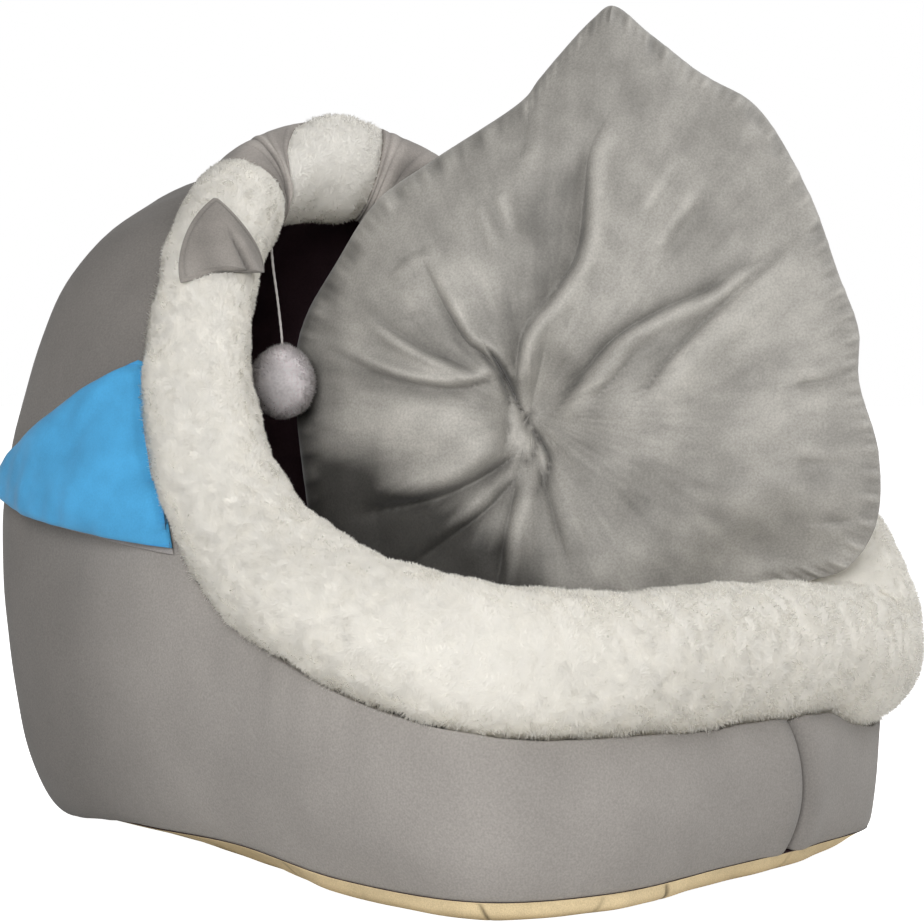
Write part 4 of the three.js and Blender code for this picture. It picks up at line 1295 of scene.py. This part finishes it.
def cushion_face(rim, rings, side):
    """Rings about the tuck of the front (side 1) or the back (side -1), and their nap value: streaks with
    painted highlight and shade.
    """
    share = np.sin(np.linspace(0, np.pi / 2, rings + 1)[1:-1])[:, None] ** 0.9
    spots = mix(CUSHION_TUCK, rim[None], share[..., None])
    across, up = spots[..., 0], spots[..., 1]
    dimple = 1 - DIMPLE["depth"] * bell(share, DIMPLE["reach"])
    gripped = smoothstep(across, *GRIP_ACROSS) * (1 - smoothstep(up, *GRIP_BELOW))
    thick = CUSHION_HALF * (np.sqrt(1 - share**CUSHION_FALL) * dimple) * (1 - CUSHION_SQUEEZE * gripped)
    flat = spots.reshape(-1, 2)
    relief = layered(np.column_stack([flat, np.full(len(flat), side * SIDE_APART)]), CUSHION_LUMPS)
    if side > 0:
        relief = relief + face_relief(flat)
    ease = np.minimum(1, 3.2 * (1 - share)) * smoothstep(share, 0.0, 0.02)
    around = np.concatenate([[0], np.cumsum(np.linalg.norm(np.diff(rim, axis=0), axis=1))])
    beat = uneven(around[:, None] * (1, 0, 0), EDGE_PUCKERS["length"], EDGE_PUCKERS["seed"])
    from_edge = np.linalg.norm(spots - rim[None], axis=-1) - EDGE_PUCKERS["inside"]
    pucker = beat[None] * bell(from_edge, EDGE_PUCKERS["reach"]) * EDGE_PUCKERS["height"]
    relief = relief.reshape(across.shape) * ease + pucker
    points = cushion_point(across, up, side * np.maximum(THINNEST, thick + relief))
    return points, streaks_and_painted_light(spots, relief)


def cushion_piece():
    """Two faces on rings about the tuck, sewn together at the edge."""
    rim = cushion_outline(np.linspace(0, 1, CUSHION_COLUMNS, endpoint=False))
    front, front_painted_light = cushion_face(rim, FRONT_RINGS, 1)
    back, back_painted_light = cushion_face(rim, BACK_RINGS, -1)
    seam = cushion_point(rim[:, 0], rim[:, 1], 0 * rim[:, 0])[None]
    rings = np.concatenate([front, seam, back[::-1]])
    tuck = CUSHION_HALF * (1 - DIMPLE["depth"])
    middle = [cushion_point(*CUSHION_TUCK, side * tuck) for side in (1, -1)]
    points, faces = fan_closed(rings, *middle)
    mesh = new_mesh("cushion_cloth", points, faces)
    nap_and_painted_light = np.concatenate([front_painted_light, np.zeros((1, CUSHION_COLUMNS)), back_painted_light[::-1]])
    # the two points at the tuck take -1: painted shade in its middle
    point_values(mesh, "nap_and_painted_light", np.concatenate([nap_and_painted_light.ravel(), [-1, -1]]))
    cushion = piece("cushion_cloth", mesh, [cushion_velvet], ["cushion"])
    return cushion


cushion_piece()

# %% [markdown]
# The pompom hangs on a thin string from the roll. It is a ball of short pile, a little taller than
# wide, and like the rim it wears blades of real mesh.

# %% Pompom and its string
STRING_ROUTE = [
    (-79, 62, 350.6), (-78.2, 61.3, 339), (-77, 60, 326), (-76, 59, 315), (-75, 58, 302),
    (-74.5, 57.5, 292.5),
]
STRING_DIAMETER = 1.6
STRING_TWIST = 40.0
POMPOM_RADIUS = 18.3
POMPOM_STRETCH = np.array([1, 1, 1.12])
POMPOM_CORE = POMPOM_RADIUS - 1.7
POMPOM_MIDDLE = np.array(STRING_ROUTE[-1]) - (0, 0, GAP + POMPOM_RADIUS * POMPOM_STRETCH[2])
POMPOM_LUMPS = [(0.03, 17, 81)]
POMPOM_BLADES = 26000
FUR = {"length": 4.4, "width": 0.7, "stand": 0.9, "hang": (0, 0, -0.5), "stray": 0.7, "seed": 82}


def on_ball(ways):
    """Points of the pompom's backing in the given directions from its middle, with slight lumps."""
    return ways * POMPOM_CORE * (1 + layered(ways * 20, POMPOM_LUMPS)[..., None]) * POMPOM_STRETCH


def pompom_piece():
    """A ball of backing with its pile in one mesh."""
    tilt, turn = np.meshgrid(np.linspace(0, np.pi, 42)[1:-1],
                             np.linspace(0, 2 * np.pi, 72, endpoint=False), indexing="ij")
    ball = np.stack([np.sin(tilt) * np.cos(turn), np.sin(tilt) * np.sin(turn), np.cos(tilt)], -1)
    pole = (0, 0, POMPOM_CORE) * POMPOM_STRETCH
    points, faces = fan_closed(on_ball(ball), pole, -pole)
    random = np.random.default_rng(FUR["seed"])
    ways = unit(random.normal(size=(POMPOM_BLADES, 3)))
    drift = unit(random.normal(size=ways.shape) * FUR["stray"] + FUR["hang"])
    drift = drift - ways * np.sum(drift * ways, axis=1, keepdims=True)
    lays = unit(drift + ways * FUR["stand"])
    lengths = FUR["length"] * random.uniform(0.7, 1.1, len(ways))
    tips, leaves, soft = blades(on_ball(ways), ways, lays, lengths, FUR["width"], FUR["seed"] + 1)
    mesh = soft_mesh(
        "pompom_pile",
        np.concatenate([points, tips]) + POMPOM_MIDDLE,
        np.concatenate([faces, leaves + len(points)]),
        np.concatenate([unit(points), soft]),
    )
    return piece("pompom_pile", mesh, [pompom_white], ["pompom"])


def string_piece():
    """A tube along the string's route, twisted like two-ply yarn."""
    path = smooth_path(STRING_ROUTE, 10)
    along = unit(np.gradient(path, axis=0))
    side = unit(np.cross(along, (0, 1, 0)))
    other = np.cross(along, side)
    turn = np.linspace(0, 2 * np.pi, 16, endpoint=False)[None, :]
    twist = np.linspace(0, STRING_TWIST, len(path))[:, None]
    radius = STRING_DIAMETER / 2 * (0.9 + 0.1 * np.cos(2 * (turn - twist)))
    rings = path[:, None] + (side[:, None] * np.cos(turn)[..., None]
                             + other[:, None] * np.sin(turn)[..., None]) * radius[..., None]
    points, faces = fan_closed(rings, path[0], path[-1])
    mesh = new_mesh("pompom_string_yarn", points, faces)
    string = piece("pompom_string_yarn", mesh, [string_white], ["pompom_string"])
    length = float(np.linalg.norm(np.diff(path, axis=0), axis=1).sum()) * MM
    print("string length in mm:", round(length / MM, 1))
    return string, path, length


pompom = pompom_piece()
string, string_path, string_length = string_piece()
[tuple(p) for p in string_path * MM]
